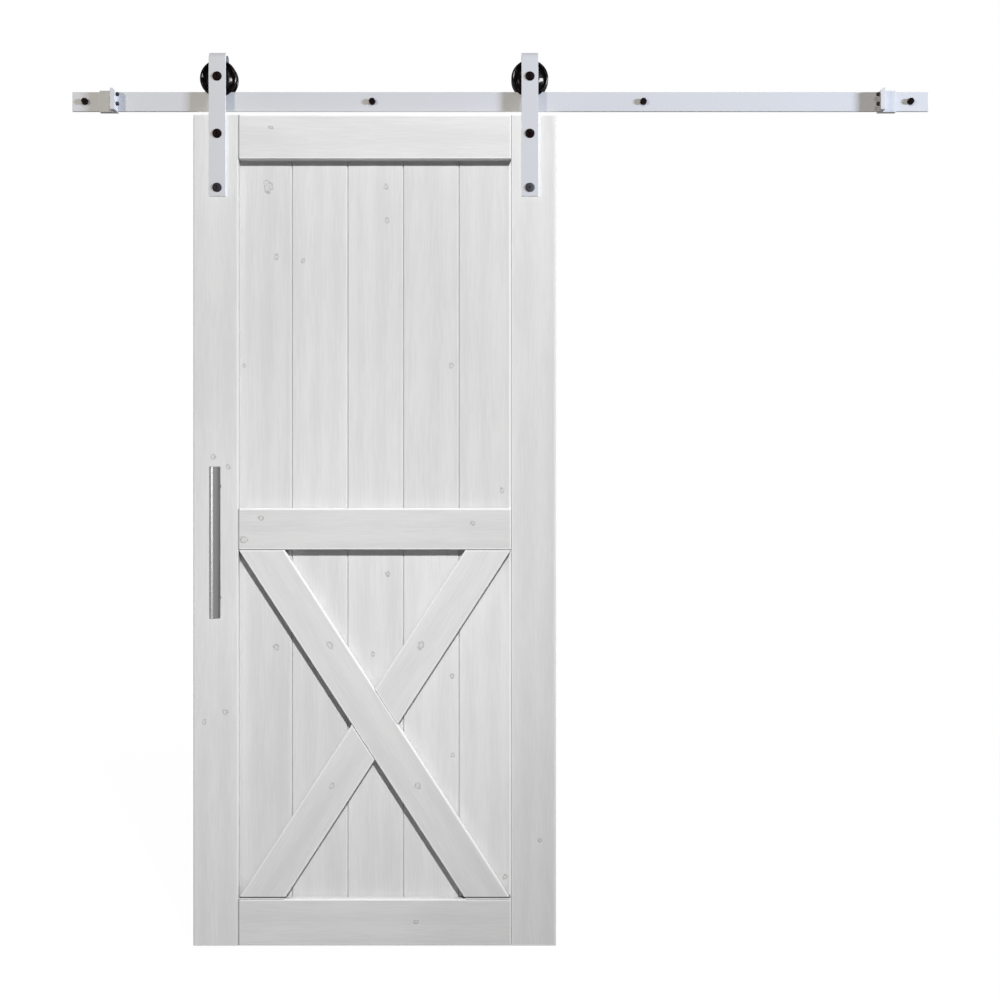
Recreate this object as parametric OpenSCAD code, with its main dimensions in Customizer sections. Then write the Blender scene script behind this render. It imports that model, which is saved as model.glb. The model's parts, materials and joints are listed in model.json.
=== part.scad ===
// Sliding barn door with its wall track: a grooved timber frame with plank panels and a half-X front,
// hung from a flat steel rail by two bent straps with flanged wheels.
// Origin: on the wall's face, at the rail's mid height, midway between the outer wall bolts.
// X runs along the rail to the right, Y runs into the wall, Z is up. The door stands where it rests.

/* [Track] */
// Length of the flat rail
rail_l = 2210; // [2190:1:2400]
// Height of the rail
rail_h = 50; // [48:1:60]
// Thickness of the rail
rail_t = 6; // [5:0.5:8]
// Distance from the rail's left end to its first wall bolt
rail_margin = 33; // [20:1:60]
// Distance between the outer wall bolts
bolt_span = 2131; // [2050:1:2140]
// Distance between the inner wall bolts
inner_bolt_span = 700; // [400:1:900]
// Offset of the inner bolts' middle from the outer bolts' middle
inner_bolt_shift = 26; // [-60:1:60]
// Length of the spacers between rail and wall
spacer_l = 32; // [30:1:60]
// Outer diameter of the spacers
spacer_d = 17; // [14:0.5:18]
// Thread diameter of the wall bolts
lag_d = 10; // [8:0.5:10]
// Length of thread that goes into the wall
lag_thread_l = 32; // [25:1:90]
// Width across flats of the wall bolts' heads
lag_head_af = 15; // [13:0.5:17]
// Height of the wall bolts' heads
lag_head_h = 8; // [5:0.5:11]

/* [End stops] */
// Distance from an outer wall bolt to the near end of its stop
stop_from_bolt = 38.5; // [20:0.5:60]
// Length of a stop along the rail
stop_l = 46; // [36:1:60]
// Thickness of a stop's front and back walls
stop_wall = 3; // [2:0.5:4]
// Thickness of a stop's top wall, which takes the set screws
stop_top_t = 2.5; // [2:0.5:3]
// Thickness of a stop's bottom wall
stop_bottom_t = 2.5; // [2:0.5:4]
// Height of the lips that hook behind the rail
stop_lip = 12; // [6:1:18]
// Thickness of the nose at a stop's inner end
nose_t = 12; // [9:0.5:16]
// How far the nose stands in front of the rail
nose_proud = 25; // [20:0.5:30]
// Chamfer on a stop's upper inner edge, which clears the wheel's rim
nose_chamfer = 6; // [6:0.5:9]
// Diameter of the rubber bumpers
bumper_d = 10; // [8:0.5:11]
// How far the bumpers stand out of the nose
bumper_proud = 7; // [5:0.5:7]
// Depth of the upper bumper's middle below the rail's top edge
bumper_drop = 10; // [8:0.5:14]
// Distance between the two bumpers of a stop
bumper_pitch = 24.5; // [16:0.5:28]
// Distance of the bumpers' middle in front of the rail
bumper_ahead = 12.5; // [10:0.5:13]
// Diameter of the stops' set screws
set_screw_d = 5; // [3:0.5:5.5]

/* [Door frame] */
// Width of the door leaf
door_w = 932; // [800:1:1100]
// Height of the door leaf
door_h = 2134; // [1900:1:2400]
// Thickness of the door's frame
door_t = 38; // [36:0.5:44]
// Place of the door's middle along the rail at rest
door_x = -316; // [-500:1:0]
// Gap between the rail's lower edge and the door's top
door_gap = 14; // [8:0.5:30]
// Width of the stiles
stile_w = 115.5; // [108:0.5:150]
// Height of the top rail
top_rail_h = 114; // [80:1:160]
// Height of the mid rail
mid_rail_h = 107; // [80:1:160]
// Height of the bottom rail
bottom_rail_h = 119; // [80:1:200]
// Chamfer on the arrises of the frame and the braces
ease = 2.25; // [0.5:0.25:3]
// Diameter of the dowels in the frame joints
dowel_d = 10; // [6:0.5:12]
// Length of the dowels
dowel_l = 80; // [50:1:90]

/* [Plank panels] */
// Thickness of the planks
plank_t = 12; // [11:0.5:14]
// Depth of the planks' face behind the frame's face
face_step = 19; // [17:0.5:21]
// Depth of the grooves that hold the planks
groove_d = 10; // [8:0.5:14]
// Spare depth behind a plank's edge in its groove
groove_spare = 1; // [0.3:0.1:2]
// Chamfer that makes the V joints between planks
v_chamfer = 2.5; // [1:0.25:3]
// Length of a plank's tongue
tongue_l = 6; // [4:0.5:9]
// Thickness of a plank's tongue
tongue_t = 4; // [3:0.5:5]

/* [Braces] */
// Width of the brace boards
brace_w = 99; // [70:1:130]
// Diameter of the screws that hold the braces from behind
brace_screw_d = 4; // [3:0.5:5]
// Diameter of the brace screws' heads
brace_screw_head_d = 8; // [7:0.5:10]
// Thickness of wood left in front of the brace screws
brace_screw_cover = 5; // [3:0.5:10]

/* [Hangers] */
// Width of the hanger straps
strap_w = 43; // [36:1:60]
// Thickness of the hanger straps
strap_t = 6; // [5:0.5:8]
// Clear gap between a hanger's front and rear legs
hook_gap = 38; // [36:0.5:44]
// Distance from the door's edge to a hanger's middle
hanger_inset = 65; // [45:0.5:69]
// Offset of both hangers along the door
hanger_shift = -2.5; // [-5:0.5:5]
// Height of the bend's middle above the axle
hook_rise = 42.5; // [38:0.5:60]
// Length of the rear leg below the axle
rear_tail = 22; // [15:0.5:28]
// Depth of the upper door bolts below the door's top
bolt_drop = 50; // [30:1:80]
// Distance between a hanger's two door bolts
bolt_pitch = 138.5; // [100:0.5:200]
// Length of the strap below the lower bolt
strap_tail = 22; // [16:0.5:40]
// Diameter of the door bolts
door_bolt_d = 10; // [8:0.5:10]
// Diameter of the round bolt heads on the straps
bolt_head_d = 24; // [19:0.5:26]
// Height of the round bolt heads
bolt_head_h = 5; // [3:0.5:7]
// Width across flats of the nuts behind the door
nut_af = 17; // [15:0.5:19]
// Thickness of the nuts behind the door
nut_t = 7; // [4:0.5:8]
// Diameter of the washers behind the door
washer_d = 24; // [20:0.5:30]
// Thickness of the washers behind the door
washer_t = 2; // [1:0.25:3]

/* [Wheels] */
// Diameter over the wheels' flanges
wheel_d = 95.5; // [90:0.5:96]
// Diameter of the wheels' treads
tread_d = 65; // [65:0.5:70]
// Width of the wheels
wheel_w = 28; // [27:0.5:30]
// Side play between the rail and a wheel's flanges
tread_play = 1.2; // [0.8:0.1:2]
// Width of the round bead along a wheel's rim
rim_w = 8.5; // [7:0.5:10]
// Diameter of the flat round the bearing on a wheel's face
hub_d = 40; // [36:0.5:44]
// Diameter at the foot of the dome on a wheel's face
dome_d = 72; // [68:0.5:73]
// Height of the dome on a wheel's face
dish_d = 5.5; // [3:0.5:6]
// Diameter of the axle bolts
axle_d = 12; // [10:0.5:12]
// Width across flats of the axle nuts
axle_nut_af = 19; // [18:0.5:20]
// Thickness of the axle nuts
axle_nut_t = 5; // [4:0.5:6]
// Outer diameter of the axle spacers
axle_spacer_d = 17; // [16:0.5:18]
// Outer diameter of the ball bearings
bearing_d = 32; // [32:0.5:36]
// Width of the ball bearings
bearing_w = 10; // [8:0.5:12]
// Diameter of the balls
ball_d = 5.8; // [5.6:0.1:6]

/* [Pull bar] */
// Diameter of the pull bar
bar_d = 28; // [20:0.5:36]
// Length of the pull bar
bar_l = 384; // [330:1:600]
// Distance from the door's left edge to the pull bar's middle
bar_inset = 66; // [40:0.5:75]
// Height of the pull bar's middle above the door's bottom
bar_rise = 1037; // [900:1:1200]
// Distance from the door's face to the pull bar's middle
bar_standoff = 42; // [36:0.5:70]
// Distance between the pull bar's posts
post_pitch = 286; // [200:1:300]
// Diameter of the posts
post_d = 12; // [10:0.5:20]
// Diameter of the bolts that hold the posts
pull_bolt_d = 6; // [5:0.5:8]
// Length of the pull bolts inside the posts
pull_bolt_grip = 18; // [12:0.5:24]

/* [Hidden] */
$fn = 64;

// Finishes
paint_wood = [0.86, 0.87, 0.87];
paint_steel = [0.82, 0.83, 0.87];
bare_wood = [0.75, 0.60, 0.42];
black_bolt = [0.10, 0.08, 0.08];
black_wheel = [0.05, 0.04, 0.04];
zinc = [0.66, 0.67, 0.69];
stainless = [0.62, 0.63, 0.63];
bearing_steel = [0.72, 0.73, 0.75];
rubber = [0.09, 0.09, 0.09];

// Clearances
run_gap = 0.3;      // between a wheel's tread and the rail
fit_gap = 0.05;     // between pins and the holes that they fill
hole_gap = 0.5;     // round bolts that pass through with play
joint_gap = 0.3;    // between boards that butt together
slide_fit = 0.2;    // between a stop and the rail inside it
race_gap = 0.1;     // between the balls and their races
through = 1;        // how far cuts run past the faces they open

// Rail and wall
rail_top = rail_h / 2;
rail_mid_y = -(spacer_l + rail_t / 2);
rail_front = -(spacer_l + rail_t);
rail_left = -bolt_span / 2 - rail_margin;
outer_bolts = [-bolt_span / 2, bolt_span / 2];
inner_bolts = [inner_bolt_shift - inner_bolt_span / 2, inner_bolt_shift + inner_bolt_span / 2];
wall_bolts = concat(outer_bolts, inner_bolts);
rail_arris = 0.6;
lag_tip_l = lag_d;
lag_shank_r = lag_d / 2 - 0.2;   // the plain shank is a little slimmer than the thread

// End stops, drawn on the right and mirrored to the left
stop_out = bolt_span / 2 - stop_from_bolt;
stop_in = stop_out - stop_l;
stop_front = rail_front - slide_fit - stop_wall;
stop_back = -spacer_l + slide_fit + stop_wall;
stop_low = -rail_h / 2 - slide_fit - stop_bottom_t;
stop_high = rail_top + slide_fit + stop_top_t;
nose_front = rail_front - nose_proud;
nose_ease = 1.5;
bumper_z = [rail_top - bumper_drop, rail_top - bumper_drop - bumper_pitch];
bumper_y = rail_front - bumper_ahead;
bumper_stem_d = bumper_d / 2;
bumper_stem_l = nose_t * 0.6;
bumper_tip = 1.5;
set_screw_x = [stop_in + nose_t + set_screw_d, stop_out - 2 * set_screw_d];

// Depths of the hangers and the door
door_front = rail_mid_y - hook_gap / 2;
door_back = door_front + door_t;
strap_front = door_front - strap_t;
rear_leg_front = rail_mid_y + hook_gap / 2;
rear_leg_back = rear_leg_front + strap_t;
panel_front = door_front + face_step;
panel_back = panel_front + plank_t;

// Door frame
door_left = door_x - door_w / 2;
door_right = door_x + door_w / 2;
door_top = -rail_h / 2 - door_gap;
door_bottom = door_top - door_h;
open_left = door_left + stile_w;
open_right = door_right - stile_w;
open_w = open_right - open_left;
open_h = (door_h - top_rail_h - mid_rail_h - bottom_rail_h) / 2;   // upper and lower openings are alike
lower_open_z = door_bottom + bottom_rail_h;
mid_rail_z = lower_open_z + open_h;
upper_open_z = mid_rail_z + mid_rail_h;
top_rail_z = upper_open_z + open_h;
groove_clear = 0.15;
tenon_l = groove_d - joint_gap;
dowel_y = door_front + face_step / 2;

// Planks
plank_count = 5;
plank_house = groove_d - groove_spare;
plank_pitch = (open_w + 2 * plank_house) / plank_count;
plank_gap = 0.4;
tongue_spare = 0.5;
tongue_clear = 0.15;

// Half X: the boards' level end cuts meet the corners of the lower opening
mid_x = (open_left + open_right) / 2;
mid_z = lower_open_z + open_h / 2;
brace_sq = brace_w * brace_w;
brace_root = brace_w * sqrt(brace_sq * open_w * open_w
    + (open_h * open_h - brace_sq) * (open_w * open_w + open_h * open_h));
brace_cut = (brace_root - brace_sq * open_w) / (open_h * open_h - brace_sq);
brace_run = open_w - brace_cut;
brace_tilt = atan2(brace_run, open_h);
brace_over = open_w + open_h;
brace_screw_steps = [-1.75, -1, 1, 1.75];   // places along each diagonal, in plank widths from the middle
brace_screw_end = door_front + brace_screw_cover;

// Hangers and wheels
axle_z = rail_top + tread_d / 2 + run_gap;
hook_z = axle_z + hook_rise;
hanger_x = [door_left + hanger_inset + hanger_shift, door_right - hanger_inset + hanger_shift];
bolt_z = [door_top - bolt_drop, door_top - bolt_drop - bolt_pitch];
strap_low = bolt_z[1] - strap_tail;
head_chamfer = 1.2;
bolt_end = 1.5;
wheel_half = wheel_w / 2;
groove_half = rail_t / 2 + tread_play;
flange_taper = 2;
rim_round = 2.2;
rim_bead = rim_w / 2;
dish_half = wheel_half - dish_d;
dome_run = (dome_d - hub_d) / 2;
dome_r = (pow(dome_run, 2) + pow(dish_d, 2)) / (2 * dish_d);
dome_sweep = asin(dome_run / dome_r);
ball_r = ball_d / 2;
bearing_mid_r = (axle_d + bearing_d) / 4;
race_land = ball_r * 0.7;   // half the gap between the rings
ball_count = 8;

// Pull bar
bar_x = door_left + bar_inset;
bar_y = door_front - bar_standoff;
bar_z = door_bottom + bar_rise;
post_z = [bar_z - post_pitch / 2, bar_z + post_pitch / 2];
bar_arris = 1;
pull_head_d = pull_bolt_d * 1.8;
pull_head_h = pull_bolt_d * 0.6;

// Rectangle with chamfered corners, as points
function eased(x0, x1, y0, y1, e) = [
    [x0 + e, y0], [x1 - e, y0], [x1, y0 + e], [x1, y1 - e],
    [x1 - e, y1], [x0 + e, y1], [x0, y1 - e], [x0, y0 + e]
];

// Points along a round stretch from one angle to another
function arc(cx, cy, r, a0, a1, steps) = [
    for (i = [0:steps]) let (a = a0 + (a1 - a0) * i / steps) [cx + r * cos(a), cy + r * sin(a)]
];

// Round bar along Y
module round_y(r, y0, y1) {
    translate([0, y0, 0]) rotate([-90, 0, 0]) cylinder(r = r, h = y1 - y0);
}

// Hexagon along Y with its flats up and down
module hex_y(af, y0, y1) {
    translate([0, y0, 0]) rotate([-90, 0, 0]) cylinder(d = af / cos(30), h = y1 - y0, $fn = 6);
}

// Section drawn in depth and height, run along X
module run_x(points, x0, x1) {
    translate([x0, 0, 0]) rotate([90, 0, 90]) linear_extrude(x1 - x0) polygon(points);
}

// Ring or disc turned about Y from a section of radius and width
module turned_y() {
    rotate([-90, 0, 0]) rotate_extrude() children();
}

// Bolt with a low round head, its head seat at y0 and its end at y1
module round_head_bolt(head_d, shank_d, y0, y1) {
    translate([0, y0, 0]) turned_y()
        polygon([
            [0, -bolt_head_h], [head_d / 2 - head_chamfer, -bolt_head_h],
            [head_d / 2, head_chamfer - bolt_head_h], [head_d / 2, 0],
            [shank_d / 2, 0], [shank_d / 2, y1 - y0], [0, y1 - y0]
        ]);
}

// Rail: flat bar with broken edges and a hole at each wall bolt
module rail() {
    color(paint_steel) difference() {
        run_x(eased(rail_front, -spacer_l, -rail_h / 2, rail_top, rail_arris),
            rail_left, rail_left + rail_l);
        for (x = wall_bolts)
            translate([x, 0, 0]) round_y(lag_d / 2 + hole_gap, rail_front - through, through - spacer_l);
    }
}

// Wall spacers: round sleeves that hold the rail off the wall
module wall_spacers() {
    color(paint_steel)
        for (x = wall_bolts)
            translate([x, 0, 0]) difference() {
                round_y(spacer_d / 2, -spacer_l, 0);
                round_y(lag_d / 2 + hole_gap, -spacer_l - through, through);
            }
}

// Lag bolts: hexagon head with chamfered corners, plain shank, threaded end with a point
module lag_bolts() {
    head_r = lag_head_af / cos(30) / 2;
    color(black_bolt)
        for (x = wall_bolts)
            translate([x, 0, 0]) {
                intersection() {
                    hex_y(lag_head_af, rail_front - lag_head_h, rail_front);
                    translate([0, rail_front - lag_head_h, 0]) rotate([-90, 0, 0])
                        cylinder(r1 = lag_head_af / 2 - 0.5, r2 = head_r + lag_head_h, h = lag_head_h);
                }
                round_y(lag_shank_r, rail_front, 0);
                round_y(lag_d / 2, 0, lag_thread_l - lag_tip_l);
                translate([0, lag_thread_l - lag_tip_l, 0]) rotate([-90, 0, 0])
                    cylinder(r1 = lag_d / 2, r2 = lag_d / 10, h = lag_tip_l);
            }
}

// End stop: a clamp that wraps the rail, open behind, with a thick nose on its inner end
module end_stop() {
    color(paint_steel) difference() {
        union() {
            run_x(eased(stop_front, stop_back, stop_low, stop_high, rail_arris), stop_in, stop_out);
            run_x(eased(nose_front, rail_front - slide_fit, stop_low, stop_high, nose_ease),
                stop_in, stop_in + nose_t);
        }
        translate([stop_in - through, rail_front - slide_fit, -rail_h / 2 - slide_fit])
            cube([stop_l + 2 * through, rail_t + 2 * slide_fit, rail_h + 2 * slide_fit]);
        translate([stop_in - through, rail_mid_y, stop_lip - rail_h / 2])
            cube([stop_l + 2 * through, stop_back - rail_mid_y + through, rail_h - 2 * stop_lip]);
        for (z = bumper_z)
            translate([stop_in - through, bumper_y, z]) rotate([0, 90, 0])
                cylinder(d = bumper_stem_d + 2 * fit_gap, h = bumper_stem_l + joint_gap + through);
        for (x = set_screw_x)
            translate([x, rail_mid_y, rail_top]) cylinder(d = set_screw_d + 2 * fit_gap, h = stop_high);
        translate([stop_in, nose_front - through, stop_high]) rotate([-90, 0, 0])
            linear_extrude(nose_proud + rail_t + stop_wall + 2 * through + slide_fit)
                polygon([
                    [-through, -through],
                    [nose_chamfer + through, -through],
                    [-through, nose_chamfer + through]
                ]);
    }
}
module left_stop() { mirror([1, 0, 0]) end_stop(); }
module right_stop() { end_stop(); }

// Rubber bumpers: turned buttons with a stem pressed into the nose
module bumpers() {
    color(rubber)
        for (z = bumper_z)
            translate([stop_in, bumper_y, z]) rotate([0, 90, 0]) rotate_extrude()
                polygon([
                    [0, -bumper_proud], [bumper_d / 2 - bumper_tip, -bumper_proud],
                    [bumper_d / 2, bumper_tip - bumper_proud], [bumper_d / 2, 0],
                    [bumper_stem_d / 2, 0], [bumper_stem_d / 2, bumper_stem_l], [0, bumper_stem_l]
                ]);
}
module left_bumpers() { mirror([1, 0, 0]) bumpers(); }
module right_bumpers() { bumpers(); }

// Set screws: socket grub screws from the stops' tops onto the rail's edge
module stop_screws() {
    color(zinc)
        for (side = [-1, 1], x = set_screw_x)
            translate([side * x, rail_mid_y, rail_top]) difference() {
                cylinder(d = set_screw_d, h = slide_fit + stop_top_t);
                translate([0, 0, stop_top_t / 2])
                    cylinder(d = set_screw_d / 2, h = stop_top_t, $fn = 6);
            }
}

// Holes for the dowels at both ends of the three rails
module dowel_places() {
    boards = [[door_bottom, bottom_rail_h], [mid_rail_z, mid_rail_h], [top_rail_z, top_rail_h]];
    for (b = boards, x = [open_left, open_right], f = [0.28, 0.72])
        translate([x, dowel_y, b[0] + f * b[1]]) rotate([0, 90, 0]) children();
}

module dowel_holes() {
    dowel_places() cylinder(d = dowel_d + 2 * fit_gap, h = dowel_l + 2 * joint_gap, center = true);
}

// Dowels: plain round pegs across the frame joints
module frame_dowels() {
    color(bare_wood) dowel_places() cylinder(d = dowel_d, h = dowel_l, center = true);
}

// Stile: full-height board with broken arrises and a groove along its inner edge
module stile(x0, groove_x) {
    color(paint_wood) difference() {
        translate([0, 0, door_bottom]) linear_extrude(door_h)
            polygon(eased(x0, x0 + stile_w, door_front, door_back, ease));
        translate([groove_x - groove_d, panel_front - groove_clear, door_bottom - through])
            cube([2 * groove_d, plank_t + 2 * groove_clear, door_h + 2 * through]);
        dowel_holes();
        for (x = hanger_x, z = bolt_z)
            translate([x, 0, z])
                round_y(door_bolt_d / 2 + hole_gap, door_front - through, door_back + through);
        for (z = post_z)
            translate([bar_x, 0, z])
                round_y(pull_bolt_d / 2 + hole_gap, door_front - through, door_back + through);
    }
}
module left_stile() { stile(door_left, open_left); }
module right_stile() { stile(open_right, open_right); }

// Cross rail: board between the stiles with stub tenons, grooved on the edges that hold planks
module cross_rail(z0, h, low_groove, high_groove) {
    low = low_groove ? groove_d : 0;
    high = high_groove ? groove_d : 0;
    color(paint_wood) difference() {
        union() {
            run_x(eased(door_front, door_back, z0, z0 + h, ease),
                open_left + joint_gap, open_right - joint_gap);
            translate([open_left - tenon_l, panel_front, z0 + low])
                cube([open_w + 2 * tenon_l, plank_t, h - low - high]);
        }
        for (z = [if (low_groove) z0, if (high_groove) z0 + h])
            translate([open_left - through, panel_front - groove_clear, z - groove_d])
                cube([open_w + 2 * through, plank_t + 2 * groove_clear, 2 * groove_d]);
        dowel_holes();
    }
}
module top_rail() { cross_rail(top_rail_z, top_rail_h, true, false); }
module mid_rail() { cross_rail(mid_rail_z, mid_rail_h, true, true); }
module bottom_rail() { cross_rail(door_bottom, bottom_rail_h, false, true); }

// Section of one plank: a groove on its left and a tongue on its right, plain where a stile holds it
module plank_section(number) {
    right = plank_pitch - plank_gap;
    t0 = (plank_t - tongue_t) / 2;
    t1 = t0 + tongue_t;
    slot = tongue_l + tongue_spare;
    left_edge = number == 1 ? [[0, plank_t], [0, 0]] : [
        [v_chamfer, plank_t], [0, plank_t - v_chamfer], [0, t1 + tongue_clear], [slot, t1 + tongue_clear],
        [slot, t0 - tongue_clear], [0, t0 - tongue_clear], [0, v_chamfer], [v_chamfer, 0]
    ];
    right_edge = number == plank_count ? [[plank_pitch, 0], [plank_pitch, plank_t]] : [
        [right - v_chamfer, 0], [right, v_chamfer], [right, t0], [right + tongue_l, t0],
        [right + tongue_l, t1], [right, t1], [right, plank_t - v_chamfer], [right - v_chamfer, plank_t]
    ];
    translate([open_left - plank_house + (number - 1) * plank_pitch, panel_front])
        polygon(concat(left_edge, right_edge));
}

// Plank: runs from groove to groove behind the frame's face
module plank(number, open_z) {
    color(paint_wood) difference() {
        translate([0, 0, open_z - plank_house])
            linear_extrude(open_h + 2 * plank_house) plank_section(number);
        screw_places() screw_cut();
    }
}
module upper_plank(number) { plank(number, upper_open_z); }
module lower_plank(number) { plank(number, lower_open_z); }

// The places where the braces are screwed through the planks, each on a board's middle line
module screw_places() {
    for (lean = [-1, 1], step = brace_screw_steps)
        translate([mid_x + lean * step * plank_pitch, 0, mid_z + step * plank_pitch * open_h / brace_run])
            children();
}

// Countersunk screw from the planks' back to its end in a brace, grown by a gap for its hole
module screw_form(gap) {
    head_r = brace_screw_head_d / 2 + gap;
    shank_r = brace_screw_d / 2 + gap;
    translate([0, panel_back, 0]) turned_y()
        polygon([
            [0, brace_screw_end - panel_back - gap], [shank_r, brace_screw_end - panel_back - gap],
            [shank_r, shank_r - head_r], [head_r, 0], [0, 0]
        ]);
}
module screw_cut() { screw_form(fit_gap); }

// Brace board along one diagonal, before its ends are cut level
module diagonal_board(lean) {
    half = brace_w / 2;
    translate([mid_x, 0, mid_z]) rotate([0, lean * brace_tilt, 0])
        translate([0, 0, -brace_over / 2]) linear_extrude(brace_over)
            polygon([
                [-half, panel_front], [-half, door_front + ease], [ease - half, door_front],
                [half - ease, door_front], [half, door_front + ease], [half, panel_front]
            ]);
}

// The lower opening, as deep as the braces
module opening_band() {
    translate([open_left + joint_gap, door_front - through, lower_open_z + joint_gap])
        cube([open_w - 2 * joint_gap, face_step + 2 * through, open_h - 2 * joint_gap]);
}

// Long brace: one board from the upper left corner to the lower right corner
module long_brace() {
    color(paint_wood) difference() {
        intersection() {
            diagonal_board(-1);
            opening_band();
        }
        screw_places() screw_cut();
    }
}

// Everything in the opening on one side of the long brace
module beside_long_brace(side) {
    translate([mid_x, 0, mid_z]) rotate([0, -brace_tilt, 0])
        translate([side * (brace_over / 2 + brace_w / 2 + joint_gap), panel_front - face_step / 2, 0])
            cube([brace_over, face_step + 2 * through, brace_over], center = true);
}

// Half braces: two boards on the other diagonal that butt against the long brace
module half_brace(side) {
    color(paint_wood) difference() {
        intersection() {
            diagonal_board(1);
            opening_band();
            beside_long_brace(side);
        }
        screw_places() screw_cut();
    }
}
module upper_half_brace() { half_brace(1); }
module lower_half_brace() { half_brace(-1); }

// Brace screws: countersunk heads flush with the planks' back, points in the braces
module brace_screws() {
    color(zinc) screw_places() screw_form(0);
}

// Pull bar: round bar with broken end edges
module pull_bar() {
    color(stainless) translate([bar_x, bar_y, bar_z - bar_l / 2]) rotate_extrude()
        polygon([
            [0, 0], [bar_d / 2 - bar_arris, 0], [bar_d / 2, bar_arris],
            [bar_d / 2, bar_l - bar_arris], [bar_d / 2 - bar_arris, bar_l], [0, bar_l]
        ]);
}

// Posts: round studs shaped to the bar at one end and drilled for a bolt at the other
module pull_posts() {
    color(stainless)
        for (z = post_z)
            translate([bar_x, 0, z]) difference() {
                round_y(post_d / 2, bar_y, door_front);
                translate([0, bar_y, -post_d]) cylinder(r = bar_d / 2 + fit_gap, h = 2 * post_d);
                round_y(pull_bolt_d / 2 + fit_gap,
                    door_front - pull_bolt_grip - joint_gap, door_front + through);
            }
}

// Pull bolts: low heads on the door's back, shanks through the stile into the posts
module pull_bolts() {
    color(zinc)
        for (z = post_z)
            translate([bar_x, 0, z]) {
                round_y(pull_bolt_d / 2, door_front - pull_bolt_grip, door_back);
                round_y(pull_head_d / 2, door_back, door_back + pull_head_h);
            }
}

// Hanger: flat strap bent over the wheel, with a long front leg for the door and a short rear leg
module hanger(x) {
    color(paint_steel) difference() {
        translate([x, 0, 0]) {
            translate([-strap_w / 2, strap_front, strap_low]) cube([strap_w, strap_t, hook_z - strap_low]);
            translate([-strap_w / 2, rear_leg_front, axle_z - rear_tail])
                cube([strap_w, strap_t, hook_rise + rear_tail]);
            translate([0, rail_mid_y, hook_z]) rotate([90, 0, 90]) rotate_extrude(angle = 180)
                translate([hook_gap / 2, -strap_w / 2]) square([strap_t, strap_w]);
        }
        translate([x, 0, axle_z])
            round_y(axle_d / 2 + fit_gap, strap_front - through, rear_leg_back + through);
        for (z = bolt_z)
            translate([x, 0, z])
                round_y(door_bolt_d / 2 + hole_gap, strap_front - through, door_front + through);
    }
}
module left_hanger() { hanger(hanger_x[0]); }
module right_hanger() { hanger(hanger_x[1]); }

// The four places where the hangers are bolted to the stiles
module door_bolt_places() {
    for (x = hanger_x, z = bolt_z) translate([x, 0, z]) children();
}

// Door bolts: low round heads on the straps, shanks through strap and stile
module door_bolts() {
    color(black_bolt) door_bolt_places()
        round_head_bolt(bolt_head_d, door_bolt_d, strap_front, door_back + washer_t + nut_t + bolt_end);
}

// Washers and nuts behind the door
module door_washers() {
    color(zinc) door_bolt_places() difference() {
        round_y(washer_d / 2, door_back, door_back + washer_t);
        round_y(door_bolt_d / 2 + hole_gap, door_back - through, door_back + washer_t + through);
    }
}
module door_nuts() {
    nut_y = door_back + washer_t;
    color(zinc) door_bolt_places() difference() {
        hex_y(nut_af, nut_y, nut_y + nut_t);
        round_y(door_bolt_d / 2 + fit_gap, nut_y - through, nut_y + nut_t + through);
    }
}

// The two axles
module axle_places() {
    for (x = hanger_x) translate([x, 0, axle_z]) children();
}

// Axle bolts: through both legs of the hanger and the wheel's bearing
module axle_bolts() {
    color(black_bolt) axle_places()
        round_head_bolt(bolt_head_d, axle_d, strap_front, rear_leg_back + axle_nut_t + bolt_end / 2);
}

// Axle spacers: sleeves that hold the bearing's inner ring midway between the legs
module axle_spacers() {
    side = (hook_gap - bearing_w) / 2;
    color(zinc) axle_places()
        for (y = [door_front, rear_leg_front - side])
            difference() {
                round_y(axle_spacer_d / 2, y, y + side);
                round_y(axle_d / 2 + fit_gap, y - through, y + side + through);
            }
}

// Axle nuts: thin nuts behind the rear legs
module axle_nuts() {
    color(zinc) axle_places() difference() {
        hex_y(axle_nut_af, rear_leg_back, rear_leg_back + axle_nut_t);
        round_y(axle_d / 2 + fit_gap, rear_leg_back - through, rear_leg_back + axle_nut_t + through);
    }
}

// Bearing ring between two radii, with the ball race cut into it
module bearing_ring(x, r0, r1) {
    color(bearing_steel) translate([x, rail_mid_y, axle_z]) turned_y() difference() {
        translate([r0, -bearing_w / 2]) square([r1 - r0, bearing_w]);
        translate([bearing_mid_r, 0]) circle(r = ball_r + race_gap);
    }
}
module inner_ring(x) { bearing_ring(x, axle_d / 2 + fit_gap, bearing_mid_r - race_land); }
module outer_ring(x) { bearing_ring(x, bearing_mid_r + race_land, bearing_d / 2); }
module left_inner_ring() { inner_ring(hanger_x[0]); }
module right_inner_ring() { inner_ring(hanger_x[1]); }
module left_outer_ring() { outer_ring(hanger_x[0]); }
module right_outer_ring() { outer_ring(hanger_x[1]); }

// Balls of one bearing
module balls(x) {
    color(bearing_steel) translate([x, rail_mid_y, axle_z])
        for (i = [0:ball_count - 1])
            rotate([0, i * 360 / ball_count, 0]) translate([bearing_mid_r, 0, 0]) sphere(r = ball_r);
}
module left_balls() { balls(hanger_x[0]); }
module right_balls() { balls(hanger_x[1]); }

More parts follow.
